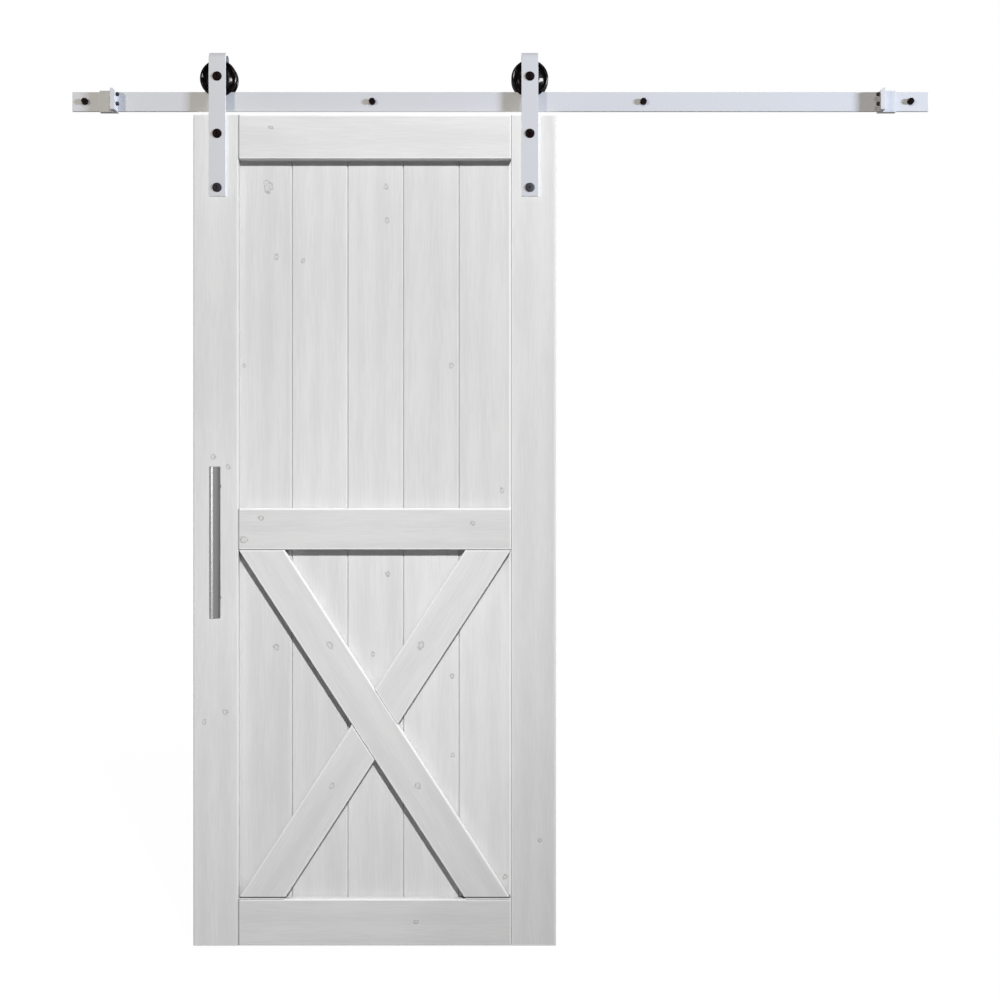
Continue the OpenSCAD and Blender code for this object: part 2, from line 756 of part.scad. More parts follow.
// Wheel: turned disc with a groove for the rail, and faces domed from the hub down to a round rim bead
function wheel_half_profile() = concat(
    [[bearing_d / 2 + fit_gap, wheel_half]],
    arc(hub_d / 2, wheel_half - dome_r, dome_r, 90, 90 - dome_sweep, 12),
    [[wheel_d / 2 - rim_w, dish_half]],
    arc(wheel_d / 2 - rim_bead, wheel_half - rim_bead, rim_bead, 180, 0, 16),
    arc(wheel_d / 2 - rim_round, groove_half + flange_taper + rim_round, rim_round, 0, -90, 6),
    [[tread_d / 2, groove_half]]
);
function wheel_side(s) = [for (p = wheel_half_profile()) [p[0], s * p[1]]];
module wheel(x) {
    front = wheel_side(-1);
    back = wheel_side(1);
    color(black_wheel) translate([x, rail_mid_y, axle_z]) turned_y()
        polygon(concat(front, [for (i = [len(back) - 1:-1:0]) back[i]]));
}
module left_wheel() { wheel(hanger_x[0]); }
module right_wheel() { wheel(hanger_x[1]); }

rail();
wall_spacers();
lag_bolts();
left_stop();
right_stop();
left_bumpers();
right_bumpers();
stop_screws();
left_stile();
right_stile();
top_rail();
mid_rail();
bottom_rail();
frame_dowels();
upper_plank(1);  // upper_plank_1
upper_plank(2);  // upper_plank_2
upper_plank(3);  // upper_plank_3
upper_plank(4);  // upper_plank_4
upper_plank(5);  // upper_plank_5
lower_plank(1);  // lower_plank_1
lower_plank(2);  // lower_plank_2
lower_plank(3);  // lower_plank_3
lower_plank(4);  // lower_plank_4
lower_plank(5);  // lower_plank_5
long_brace();
upper_half_brace();
lower_half_brace();
brace_screws();
pull_bar();
pull_posts();
pull_bolts();
left_hanger();
right_hanger();
door_bolts();
door_washers();
door_nuts();
axle_bolts();
axle_spacers();
axle_nuts();
left_inner_ring();
right_inner_ring();
left_wheel();
right_wheel();
left_outer_ring();
right_outer_ring();
left_balls();
right_balls();
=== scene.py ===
# Looks for a sliding barn door on its wall track, piece by piece in the order in which it is put together.
import json
import math

import bpy
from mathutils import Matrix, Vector


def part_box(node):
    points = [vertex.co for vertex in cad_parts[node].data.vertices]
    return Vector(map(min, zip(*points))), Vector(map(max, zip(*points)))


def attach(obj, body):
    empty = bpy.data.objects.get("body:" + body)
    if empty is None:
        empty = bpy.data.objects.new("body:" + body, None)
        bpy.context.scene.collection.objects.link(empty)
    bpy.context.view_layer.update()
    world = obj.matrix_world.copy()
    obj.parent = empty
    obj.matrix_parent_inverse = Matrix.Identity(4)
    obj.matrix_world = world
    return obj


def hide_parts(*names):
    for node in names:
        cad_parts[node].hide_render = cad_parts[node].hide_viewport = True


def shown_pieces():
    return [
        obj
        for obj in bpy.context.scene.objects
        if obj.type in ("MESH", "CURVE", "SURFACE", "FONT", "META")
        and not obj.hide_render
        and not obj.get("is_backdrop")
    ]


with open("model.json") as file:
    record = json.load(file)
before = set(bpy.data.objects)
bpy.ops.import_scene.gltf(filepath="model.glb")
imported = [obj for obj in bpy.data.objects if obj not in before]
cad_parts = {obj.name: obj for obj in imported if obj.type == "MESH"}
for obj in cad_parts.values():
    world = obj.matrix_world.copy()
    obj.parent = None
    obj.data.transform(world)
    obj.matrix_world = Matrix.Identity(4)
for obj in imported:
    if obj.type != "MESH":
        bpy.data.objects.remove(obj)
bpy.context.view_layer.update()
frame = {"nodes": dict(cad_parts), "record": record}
nodes = frame["nodes"]

# Flat rail and wall spacers
# Flat steel bar that stands off the wall on four round steel sleeves, all with a white powder coat.
# The coat is baked on: an even satin film with a fine orange-peel skin, a little rounder at the edges.


def add_node(tree, kind, values=None, **settings):
    """Adds a node, sets its properties, then its plain inputs by name or number."""
    node = tree.nodes.new(kind)
    for name, value in settings.items():
        setattr(node, name, value)
    for key, value in (values or {}).items():
        node.inputs[key].default_value = value
    return node


def set_or_link(tree, socket, value):
    """Sets a node's input to a plain value or links it to a socket."""
    if isinstance(value, bpy.types.NodeSocket):
        tree.links.new(value, socket)
    else:
        socket.default_value = value


def calc(tree, operation, *values):
    """A Math node on sockets or plain numbers; gives its output."""
    node = add_node(tree, "ShaderNodeMath", operation=operation)
    for number, value in enumerate(values):
        set_or_link(tree, node.inputs[number], value)
    return node.outputs[0]


def fade(tree, value, start, end, low=0.0, high=1.0):
    """Eases a value from low at start to high at end, and holds it outside."""
    node = add_node(tree, "ShaderNodeMapRange", interpolation_type="SMOOTHSTEP")
    for name, number in (("From Min", start), ("From Max", end), ("To Min", low), ("To Max", high)):
        node.inputs[name].default_value = number
    tree.links.new(value, node.inputs["Value"])
    return node.outputs["Result"]


def blend_colours(tree, share, first, second):
    """Mixes two colours or colour sockets; gives its output."""
    node = add_node(tree, "ShaderNodeMix", data_type="RGBA")
    for number, value in ((0, share), (6, first), (7, second)):
        set_or_link(tree, node.inputs[number], value)
    return node.outputs[2]


def new_group(name, inputs, outputs):
    """Starts a shader node group with named inputs and outputs."""
    tree = bpy.data.node_groups.new(name, "ShaderNodeTree")
    for socket, kind in inputs:
        tree.interface.new_socket(socket, in_out="INPUT", socket_type=kind)
    for socket, kind in outputs:
        tree.interface.new_socket(socket, in_out="OUTPUT", socket_type=kind)
    return tree, tree.nodes.new("NodeGroupInput"), tree.nodes.new("NodeGroupOutput")


def use_group(tree, group, **values):
    """Places a node group in a material, with its inputs set or linked by name."""
    node = add_node(tree, "ShaderNodeGroup", node_tree=group)
    for name, value in values.items():
        set_or_link(tree, node.inputs[name.replace("_", " ")], value)
    return node


def new_material(name, **plain):
    """Starts a material; plain inputs of its shader are set by name."""
    material = bpy.data.materials.new(name)
    material.use_nodes = True
    tree = material.node_tree
    shader = tree.nodes["Principled BSDF"]
    for socket, value in plain.items():
        shader.inputs[socket.replace("_", " ")].default_value = value
    place = tree.nodes.new("ShaderNodeTexCoord").outputs["Object"]
    return material, tree, shader, place


def finish_bump(tree, shader, height, strength, depth, normal=None):
    """Ends a material in a Bump node that feeds the shader's normal."""
    bump = add_node(tree, "ShaderNodeBump", {"Strength": strength, "Distance": depth})
    tree.links.new(height, bump.inputs["Height"])
    if normal is not None:
        tree.links.new(normal, bump.inputs["Normal"])
    tree.links.new(bump.outputs["Normal"], shader.inputs["Normal"])


def dress(material, *names):
    """Gives CAD nodes their finish."""
    for name in names:
        for slot in nodes[name].material_slots:
            slot.material = material


# The skin of a sprayed or moulded surface: broad mottle and fine orange peel.
skin_group, skin_in, skin_out = new_group(
    "surface_skin",
    (("Vector", "NodeSocketVector"), ("Peel Scale", "NodeSocketFloat"),
     ("Mottle Scale", "NodeSocketFloat")),
    (("Mottle", "NodeSocketFloat"), ("Peel", "NodeSocketFloat")),
)
for socket, scale, detail in (("Mottle", "Mottle Scale", 4.0), ("Peel", "Peel Scale", 1.5)):
    noise = add_node(skin_group, "ShaderNodeTexNoise", {"Detail": detail})
    skin_group.links.new(skin_in.outputs["Vector"], noise.inputs["Vector"])
    skin_group.links.new(skin_in.outputs[scale], noise.inputs["Scale"])
    skin_group.links.new(noise.outputs["Fac"], skin_out.inputs[socket])

# Edges that a coat or a hand has rounded: a softened normal, and a mask along each arris.
edge_group, edge_in, edge_out = new_group(
    "rounded_arris",
    (("Radius", "NodeSocketFloat"),),
    (("Normal", "NodeSocketVector"), ("Arris", "NodeSocketFloat")),
)
softened = add_node(edge_group, "ShaderNodeBevel", samples=6)
facing = add_node(edge_group, "ShaderNodeNewGeometry")
closeness = add_node(edge_group, "ShaderNodeVectorMath", operation="DOT_PRODUCT")
edge_group.links.new(edge_in.outputs["Radius"], softened.inputs["Radius"])
edge_group.links.new(softened.outputs["Normal"], closeness.inputs[0])
edge_group.links.new(facing.outputs["Normal"], closeness.inputs[1])
edge_group.links.new(softened.outputs["Normal"], edge_out.inputs["Normal"])
edge_group.links.new(fade(edge_group, closeness.outputs["Value"], 0.998, 0.955), edge_out.inputs["Arris"])

coat_white = (0.635, 0.633, 0.628, 1.0)
coat_thin = (0.605, 0.603, 0.598, 1.0)
coat_arris = (0.72, 0.72, 0.72, 1.0)
powder_coat, tree, shader, place = new_material("powder_coat", Specular_IOR_Level=0.18)
skin = use_group(tree, skin_group, Vector=place, Peel_Scale=620.0, Mottle_Scale=7.0)
arris = use_group(tree, edge_group, Radius=0.0009)
film = blend_colours(tree, skin.outputs["Mottle"], coat_thin, coat_white)
tone = blend_colours(tree, arris.outputs["Arris"], film, coat_arris)
tree.links.new(tone, shader.inputs["Base Color"])
tree.links.new(fade(tree, skin.outputs["Mottle"], 0.2, 0.8, 0.42, 0.54), shader.inputs["Roughness"])
finish_bump(tree, shader, skin.outputs["Peel"], 0.10, 0.0004, arris.outputs["Normal"])
dress(powder_coat, "rail", "wall_spacers")

# Lag bolts
# Black-oxide steel screws, one through each sleeve: a flanged hexagon head on the rail, a plain shank,
# and a coarse rolled thread with a point that bites into the stud.


def new_geometry_tree(name, sizes):
    """Starts a Geometry Nodes tree with a geometry, named sizes and a material as inputs."""
    tree = bpy.data.node_groups.new(name, "GeometryNodeTree")
    tree.interface.new_socket("Geometry", in_out="INPUT", socket_type="NodeSocketGeometry")
    for size in sizes:
        tree.interface.new_socket(size, in_out="INPUT", socket_type="NodeSocketFloat")
    tree.interface.new_socket("Material", in_out="INPUT", socket_type="NodeSocketMaterial")
    tree.interface.new_socket("Geometry", in_out="OUTPUT", socket_type="NodeSocketGeometry")
    return tree, tree.nodes.new("NodeGroupInput"), tree.nodes.new("NodeGroupOutput")


def lifted(tree, mesh, start):
    """Moves a mesh up along Z by start."""
    lift = add_node(tree, "ShaderNodeCombineXYZ")
    set_or_link(tree, lift.inputs["Z"], start)
    move = add_node(tree, "GeometryNodeTransform")
    tree.links.new(mesh, move.inputs["Geometry"])
    tree.links.new(lift.outputs["Vector"], move.inputs["Translation"])
    return move.outputs["Geometry"]


def turned(tree, sides, low_radius, high_radius, height, start):
    """A cylinder or cone along Z from start upwards."""
    cone = add_node(tree, "GeometryNodeMeshCone", {"Vertices": sides})
    set_or_link(tree, cone.inputs["Radius Bottom"], low_radius)
    set_or_link(tree, cone.inputs["Radius Top"], high_radius)
    set_or_link(tree, cone.inputs["Depth"], height)
    return lifted(tree, cone.outputs["Mesh"], start)


def carved(tree, operation, first, second):
    """Cuts, or keeps what is shared by, two closed meshes."""
    node = add_node(tree, "GeometryNodeMeshBoolean", operation=operation, solver="EXACT")
    if operation == "DIFFERENCE":
        tree.links.new(first, node.inputs["Mesh 1"])
    else:
        tree.links.new(first, node.inputs["Mesh 2"])
    tree.links.new(second, node.inputs["Mesh 2"])
    return node.outputs["Mesh"]


def thread(tree, core_radius, crest_radius, length, start, pitch):
    """A helical ridge round a core, along Z from start upwards."""
    turns = calc(tree, "DIVIDE", length, pitch)
    coil = add_node(tree, "GeometryNodeCurveSpiral", {"Resolution": 20})
    for name, value in (("Rotations", turns), ("Start Radius", core_radius), ("End Radius", core_radius),
                        ("Height", length)):
        set_or_link(tree, coil.inputs[name], value)
    upright = add_node(tree, "GeometryNodeSetCurveNormal", mode="Z_UP")
    tree.links.new(coil.outputs["Curve"], upright.inputs["Curve"])
    ridge = add_node(tree, "GeometryNodeCurvePrimitiveCircle", {"Resolution": 4})
    tree.links.new(calc(tree, "SUBTRACT", crest_radius, core_radius), ridge.inputs["Radius"])
    sweep = add_node(tree, "GeometryNodeCurveToMesh", {"Fill Caps": True})
    tree.links.new(upright.outputs["Curve"], sweep.inputs["Curve"])
    tree.links.new(ridge.outputs["Curve"], sweep.inputs["Profile Curve"])
    return lifted(tree, sweep.outputs["Mesh"], start)


def repeat_along_wall_axis(tree, inputs, output, solids, turn=-90.0):
    """Turns the joined solids from Z to the wall's axis, puts one on each point and sets the material."""
    join = add_node(tree, "GeometryNodeJoinGeometry")
    for solid in reversed(solids):
        tree.links.new(solid, join.inputs["Geometry"])
    aim = add_node(tree, "GeometryNodeTransform", {"Rotation": (math.radians(turn), 0.0, 0.0)})
    spread = add_node(tree, "GeometryNodeInstanceOnPoints")
    solid = add_node(tree, "GeometryNodeRealizeInstances")
    smooth = add_node(tree, "GeometryNodeSetShadeSmooth", domain="FACE")
    angle = add_node(tree, "GeometryNodeInputMeshEdgeAngle")
    crisp = add_node(tree, "GeometryNodeSetShadeSmooth", {"Shade Smooth": False}, domain="EDGE")
    finish = add_node(tree, "GeometryNodeSetMaterial")
    tree.links.new(join.outputs["Geometry"], aim.inputs["Geometry"])
    tree.links.new(inputs.outputs["Geometry"], spread.inputs["Points"])
    tree.links.new(aim.outputs["Geometry"], spread.inputs["Instance"])
    tree.links.new(spread.outputs["Instances"], solid.inputs["Geometry"])
    tree.links.new(solid.outputs["Geometry"], smooth.inputs["Geometry"])
    tree.links.new(smooth.outputs["Geometry"], crisp.inputs["Geometry"])
    sharp = calc(tree, "GREATER_THAN", angle.outputs["Unsigned Angle"], math.radians(32))
    tree.links.new(sharp, crisp.inputs["Selection"])
    tree.links.new(crisp.outputs["Geometry"], finish.inputs["Geometry"])
    tree.links.new(inputs.outputs["Material"], finish.inputs["Material"])
    tree.links.new(finish.outputs["Geometry"], output.inputs["Geometry"])


def grow(name, places, tree, material, sizes):
    """Runs a Geometry Nodes tree on a set of points and keeps the result as a plain mesh."""
    points = bpy.data.meshes.new(name + "_places")
    points.from_pydata(places, [], [])
    piece = bpy.data.objects.new(name, points)
    bpy.context.scene.collection.objects.link(piece)
    modifier = piece.modifiers.new("make", "NODES")
    modifier.node_group = tree
    values = dict(sizes, Material=material)
    for item in tree.interface.items_tree:
        if item.in_out == "INPUT" and item.name in values:
            modifier[item.identifier] = values[item.name]
    bpy.context.view_layer.update()
    made = bpy.data.meshes.new_from_object(piece.evaluated_get(bpy.context.evaluated_depsgraph_get()))
    piece.modifiers.remove(modifier)
    piece.data = made
    made.name = name
    bpy.data.meshes.remove(points)
    return piece


def split(tree, vector):
    """The X, Y and Z of a vector socket."""
    node = add_node(tree, "ShaderNodeSeparateXYZ")
    tree.links.new(vector, node.inputs[0])
    return node.outputs


oxide_black = (0.0045, 0.0017, 0.0017, 1.0)
oxide_bronze = (0.0080, 0.0034, 0.0032, 1.0)
oxide_arris = (0.022, 0.015, 0.014, 1.0)
oxide_grey = (0.072, 0.069, 0.079, 1.0)
dark_bolts, tree, shader, place = new_material("dark_bolts", Specular_IOR_Level=0.04)
skin = use_group(tree, skin_group, Vector=place, Peel_Scale=1500.0, Mottle_Scale=120.0)
arris = use_group(tree, edge_group, Radius=0.0006)
film = blend_colours(tree, fade(tree, skin.outputs["Mottle"], 0.35, 0.7), oxide_black, oxide_bronze)
tone = blend_colours(tree, arris.outputs["Arris"], film, oxide_arris)
apart = split(tree, place)
# The lower door bolts are made greyer, more so towards the right.
lower_grey = calc(tree, "MULTIPLY", fade(tree, apart["Z"], -0.10, -0.14),
              fade(tree, apart["X"], -0.75, 0.10, 0.40, 1.0))
tree.links.new(blend_colours(tree, lower_grey, tone, oxide_grey), shader.inputs["Base Color"])
tree.links.new(fade(tree, skin.outputs["Mottle"], 0.3, 0.7, 0.30, 0.46), shader.inputs["Roughness"])
finish_bump(tree, shader, skin.outputs["Peel"], 0.15, 0.0002, arris.outputs["Normal"])

lag_sizes = ("Head Width", "Head Height", "Flange Width", "Flange Height", "Shank Radius", "Shank Length",
             "Core Radius", "Crest Radius", "Thread Length", "Tip Length", "Pitch")
crown_share = 0.46
crown_slope = 1.6
brim_share = 0.94
tip_radius = 0.0006
lag_tree, lag_in, lag_out = new_geometry_tree("lag_bolt", lag_sizes)
size = lag_in.outputs
corner = calc(lag_tree, "DIVIDE", size["Head Width"], math.sqrt(3.0))
top = calc(lag_tree, "MULTIPLY", size["Head Height"], -1.0)
hexagon = turned(lag_tree, 6, corner, corner, size["Head Height"], top)
rim = calc(lag_tree, "MULTIPLY", size["Head Width"], crown_share)
wide = calc(lag_tree, "ADD", rim, calc(lag_tree, "MULTIPLY", size["Head Height"], crown_slope))
crown = turned(lag_tree, 48, rim, wide, size["Head Height"], top)
head = carved(lag_tree, "INTERSECT", hexagon, crown)
brim = calc(lag_tree, "DIVIDE", size["Flange Width"], 2.0)
brim_top = calc(lag_tree, "MULTIPLY", brim, brim_share)
flange = turned(lag_tree, 40, brim_top, brim, size["Flange Height"],
                calc(lag_tree, "MULTIPLY", size["Flange Height"], -1.0))
shank = turned(lag_tree, 32, size["Shank Radius"], size["Shank Radius"], size["Shank Length"], 0.0)
core = turned(lag_tree, 24, size["Core Radius"], size["Core Radius"], size["Thread Length"],
              size["Shank Length"])
ridge = thread(lag_tree, size["Core Radius"], size["Crest Radius"], size["Thread Length"],
               size["Shank Length"], size["Pitch"])
point = turned(lag_tree, 24, size["Core Radius"], tip_radius, size["Tip Length"],
               calc(lag_tree, "ADD", size["Shank Length"], size["Thread Length"]))
repeat_along_wall_axis(lag_tree, lag_in, lag_out, [head, flange, shank, core, ridge, point])

rail_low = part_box("rail")[0]
lag_places = []
for mount in frame["record"]["mounts"]:
    half = mount["dims"]["spacing_x_mm"] / 2000.0
    middle = mount["pos_m"][0]
    lag_places += [(middle - half, rail_low.y, 0.0), (middle + half, rail_low.y, 0.0)]
lag_low, lag_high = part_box("lag_bolts")
lag_width = lag_high.z - lag_low.z
lag_tip = 0.010
flange_width = lag_width * 1.14
lag_bolts = grow("threaded_lag_bolts", lag_places, lag_tree, dark_bolts, {
    "Head Width": lag_width, "Head Height": rail_low.y - lag_low.y, "Flange Width": flange_width,
    "Flange Height": 0.0014,
    "Shank Radius": 0.0048, "Shank Length": -rail_low.y, "Core Radius": 0.0037, "Crest Radius": 0.0050,
    "Thread Length": lag_high.y - lag_tip, "Tip Length": lag_tip, "Pitch": 0.0042,
})
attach(lag_bolts, "track")
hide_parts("lag_bolts")

# End stops, their bumpers and set screws
# Formed steel clamps round the rail with a thick nose, coated like the rail. Two rubber buttons are pressed
# into each nose, and zinc grub screws pinch the clamp from above.
dress(powder_coat, "left_stop", "right_stop")

rubber_black = (0.020, 0.020, 0.021, 1.0)
rubber_bloom = (0.045, 0.045, 0.046, 1.0)
bumper_rubber, tree, shader, place = new_material("bumper_rubber", Specular_IOR_Level=0.25)
skin = use_group(tree, skin_group, Vector=place, Peel_Scale=1800.0, Mottle_Scale=140.0)
tone = blend_colours(tree, skin.outputs["Mottle"], rubber_black, rubber_bloom)
tree.links.new(tone, shader.inputs["Base Color"])
tree.links.new(fade(tree, skin.outputs["Mottle"], 0.2, 0.8, 0.68, 0.86), shader.inputs["Roughness"])
finish_bump(tree, shader, skin.outputs["Peel"], 0.3, 0.0002)
dress(bumper_rubber, "left_bumpers", "right_bumpers")

zinc_pale = (0.56, 0.58, 0.61, 1.0)
zinc_dull = (0.40, 0.41, 0.43, 1.0)
zinc_arris = (0.68, 0.69, 0.71, 1.0)
zinc, tree, shader, place = new_material("zinc", Metallic=1.0)
skin = use_group(tree, skin_group, Vector=place, Peel_Scale=2200.0, Mottle_Scale=260.0)
arris = use_group(tree, edge_group, Radius=0.0004)
film = blend_colours(tree, skin.outputs["Mottle"], zinc_dull, zinc_pale)
tone = blend_colours(tree, arris.outputs["Arris"], film, zinc_arris)
tree.links.new(tone, shader.inputs["Base Color"])
tree.links.new(fade(tree, skin.outputs["Mottle"], 0.25, 0.75, 0.26, 0.44), shader.inputs["Roughness"])
finish_bump(tree, shader, skin.outputs["Peel"], 0.1, 0.0002, arris.outputs["Normal"])
dress(zinc, "stop_screws")

# Door frame
# Pine stiles and rails, stub-tenoned and dowelled, then painted white with a brush: the grain still shows
# as faint raised lines, knots ghost through as rings, and a painted highlight runs along the eased arrises.

# Grain of a board along Z: fine fibre, broad growth figure and the lap marks of the brush.
grain_group, grain_in, grain_out = new_group(
    "painted_grain",
    (("Vector", "NodeSocketVector"), ("Fibre Scale", "NodeSocketFloat"),
     ("Figure Scale", "NodeSocketFloat")),
    (("Fibre", "NodeSocketFloat"), ("Figure", "NodeSocketFloat"), ("Brush", "NodeSocketFloat")),
)


def drawn_out(tree, vector, share):
    """Shrinks a pattern's coordinate along the grain, so that the pattern is drawn out there."""
    node = add_node(tree, "ShaderNodeVectorMath", {1: (1.0, 1.0, share)}, operation="MULTIPLY")
    tree.links.new(vector, node.inputs[0])
    return node.outputs["Vector"]


fibre = add_node(grain_group, "ShaderNodeTexNoise", {"Detail": 3.0, "Roughness": 0.6})
grain_group.links.new(drawn_out(grain_group, grain_in.outputs["Vector"], 0.045), fibre.inputs["Vector"])
grain_group.links.new(grain_in.outputs["Fibre Scale"], fibre.inputs["Scale"])
grain_group.links.new(fibre.outputs["Fac"], grain_out.inputs["Fibre"])
figure = add_node(grain_group, "ShaderNodeTexWave", {"Distortion": 7.0, "Detail": 3.0, "Detail Scale": 0.8},
                  wave_type="BANDS", bands_direction="X", wave_profile="SIN")
grain_group.links.new(drawn_out(grain_group, grain_in.outputs["Vector"], 0.07), figure.inputs["Vector"])
grain_group.links.new(grain_in.outputs["Figure Scale"], figure.inputs["Scale"])
grain_group.links.new(figure.outputs["Fac"], grain_out.inputs["Figure"])
brush = add_node(grain_group, "ShaderNodeTexNoise", {"Scale": 15.0, "Detail": 4.0, "Roughness": 0.55})
grain_group.links.new(drawn_out(grain_group, grain_in.outputs["Vector"], 0.22), brush.inputs["Vector"])
grain_group.links.new(brush.outputs["Fac"], grain_out.inputs["Brush"])

# A knot under paint: a thin broken ring with a faint swirl inside it, longer along the grain.
knot_group, knot_in, knot_out = new_group(
    "painted_knot",
    (("Vector", "NodeSocketVector"), ("Centre", "NodeSocketVector"), ("Radius", "NodeSocketFloat"),
     ("Stretch", "NodeSocketFloat")),
    (("Ring", "NodeSocketFloat"), ("Heart", "NodeSocketFloat")),
)
offset = add_node(knot_group, "ShaderNodeVectorMath", operation="SUBTRACT")
knot_group.links.new(knot_in.outputs["Vector"], offset.inputs[0])
knot_group.links.new(knot_in.outputs["Centre"], offset.inputs[1])
apart = split(knot_group, offset.outputs["Vector"])
across = calc(knot_group, "DIVIDE", apart["X"], knot_in.outputs["Radius"])
along = calc(knot_group, "DIVIDE", apart["Z"],
             calc(knot_group, "MULTIPLY", knot_in.outputs["Radius"], knot_in.outputs["Stretch"]))
reach = calc(knot_group, "SQRT", calc(knot_group, "ADD", calc(knot_group, "MULTIPLY", across, across),
                                      calc(knot_group, "MULTIPLY", along, along)))
ragged = add_node(knot_group, "ShaderNodeTexNoise", {"Detail": 2.0})
swirl = add_node(knot_group, "ShaderNodeTexNoise", {"Detail": 1.0, "Distortion": 1.5})
for noise, spread in ((ragged, 0.8), (swirl, 2.4)):
    knot_group.links.new(knot_in.outputs["Vector"], noise.inputs["Vector"])
    scale = calc(knot_group, "DIVIDE", spread, knot_in.outputs["Radius"])
    knot_group.links.new(scale, noise.inputs["Scale"])
wander = calc(knot_group, "SUBTRACT", ragged.outputs["Fac"], 0.5)
reach = calc(knot_group, "MULTIPLY_ADD", wander, 1.7, reach)
from_ring = calc(knot_group, "ABSOLUTE", calc(knot_group, "SUBTRACT", reach, 0.95))
from_ring = calc(knot_group, "MULTIPLY", from_ring, knot_in.outputs["Radius"])
broken = fade(knot_group, swirl.outputs["Fac"], 0.34, 0.56, 0.20, 1.0)
knot_group.links.new(calc(knot_group, "MULTIPLY", fade(knot_group, from_ring, 0.0019, 0.0004), broken),
                     knot_out.inputs["Ring"])
inside = fade(knot_group, reach, 1.0, 0.7)
streaks = fade(knot_group, swirl.outputs["Fac"], 0.45, 0.62)
knot_group.links.new(calc(knot_group, "MULTIPLY", inside, streaks), knot_out.inputs["Heart"])

# How deep a spot lies in an inner corner, where the boards get painted shade.
corner_shade_group, corner_in, corner_out = new_group(
    "corner_shade_depth", (("Reach", "NodeSocketFloat"),), (("Depth", "NodeSocketFloat"),))
openness = add_node(corner_shade_group, "ShaderNodeAmbientOcclusion", samples=6)
corner_shade_group.links.new(corner_in.outputs["Reach"], openness.inputs["Distance"])
depth = calc(corner_shade_group, "SUBTRACT", 1.0, openness.outputs["AO"])
corner_shade_group.links.new(depth, corner_out.inputs["Depth"])

paint_white = (0.772, 0.773, 0.771, 1.0)
paint_grey = (0.700, 0.702, 0.703, 1.0)
arris_highlight = 0.94
arris_highlight_quiet = {"plank": 0.81, "left_stile": 0.77, "right_stile": 0.88}
paint_knot = (0.37, 0.366, 0.358, 1.0)
painted_joint_shade = (0.30, 0.30, 0.30, 1.0)
painted_gap_shade = (0.08, 0.08, 0.08, 1.0)
painted_stile_highlight = (0.86, 0.86, 0.86, 1.0)
painted_corner_shade = (0.34, 0.34, 0.34, 1.0)
fibre_share = 0.50
figure_share = 0.10
brush_share = 0.40
ring_share = 0.85
heart_share = 0.32
ring_sunk = -1.2
highlight_reach = 0.0075
plank_edge = 0.0035
sharp_edge = 0.0010
# Painted light and shade: each board's paint is made lighter or darker by its factor here.
board_painted_light = {
    "left_stile": 1.008, "right_stile": 0.966, "top_rail": 0.992, "mid_rail": 0.925, "bottom_rail": 0.939,
    "long_brace": 0.976, "lower_half_brace": 0.972, "upper_plank_1": 0.963, "upper_plank_2": 0.989,
    "upper_plank_3": 0.968, "upper_plank_4": 0.947, "upper_plank_5": 0.955, "lower_plank_1": 0.958,
    "lower_plank_2": 0.966, "lower_plank_4": 1.030, "lower_plank_5": 1.047,
}


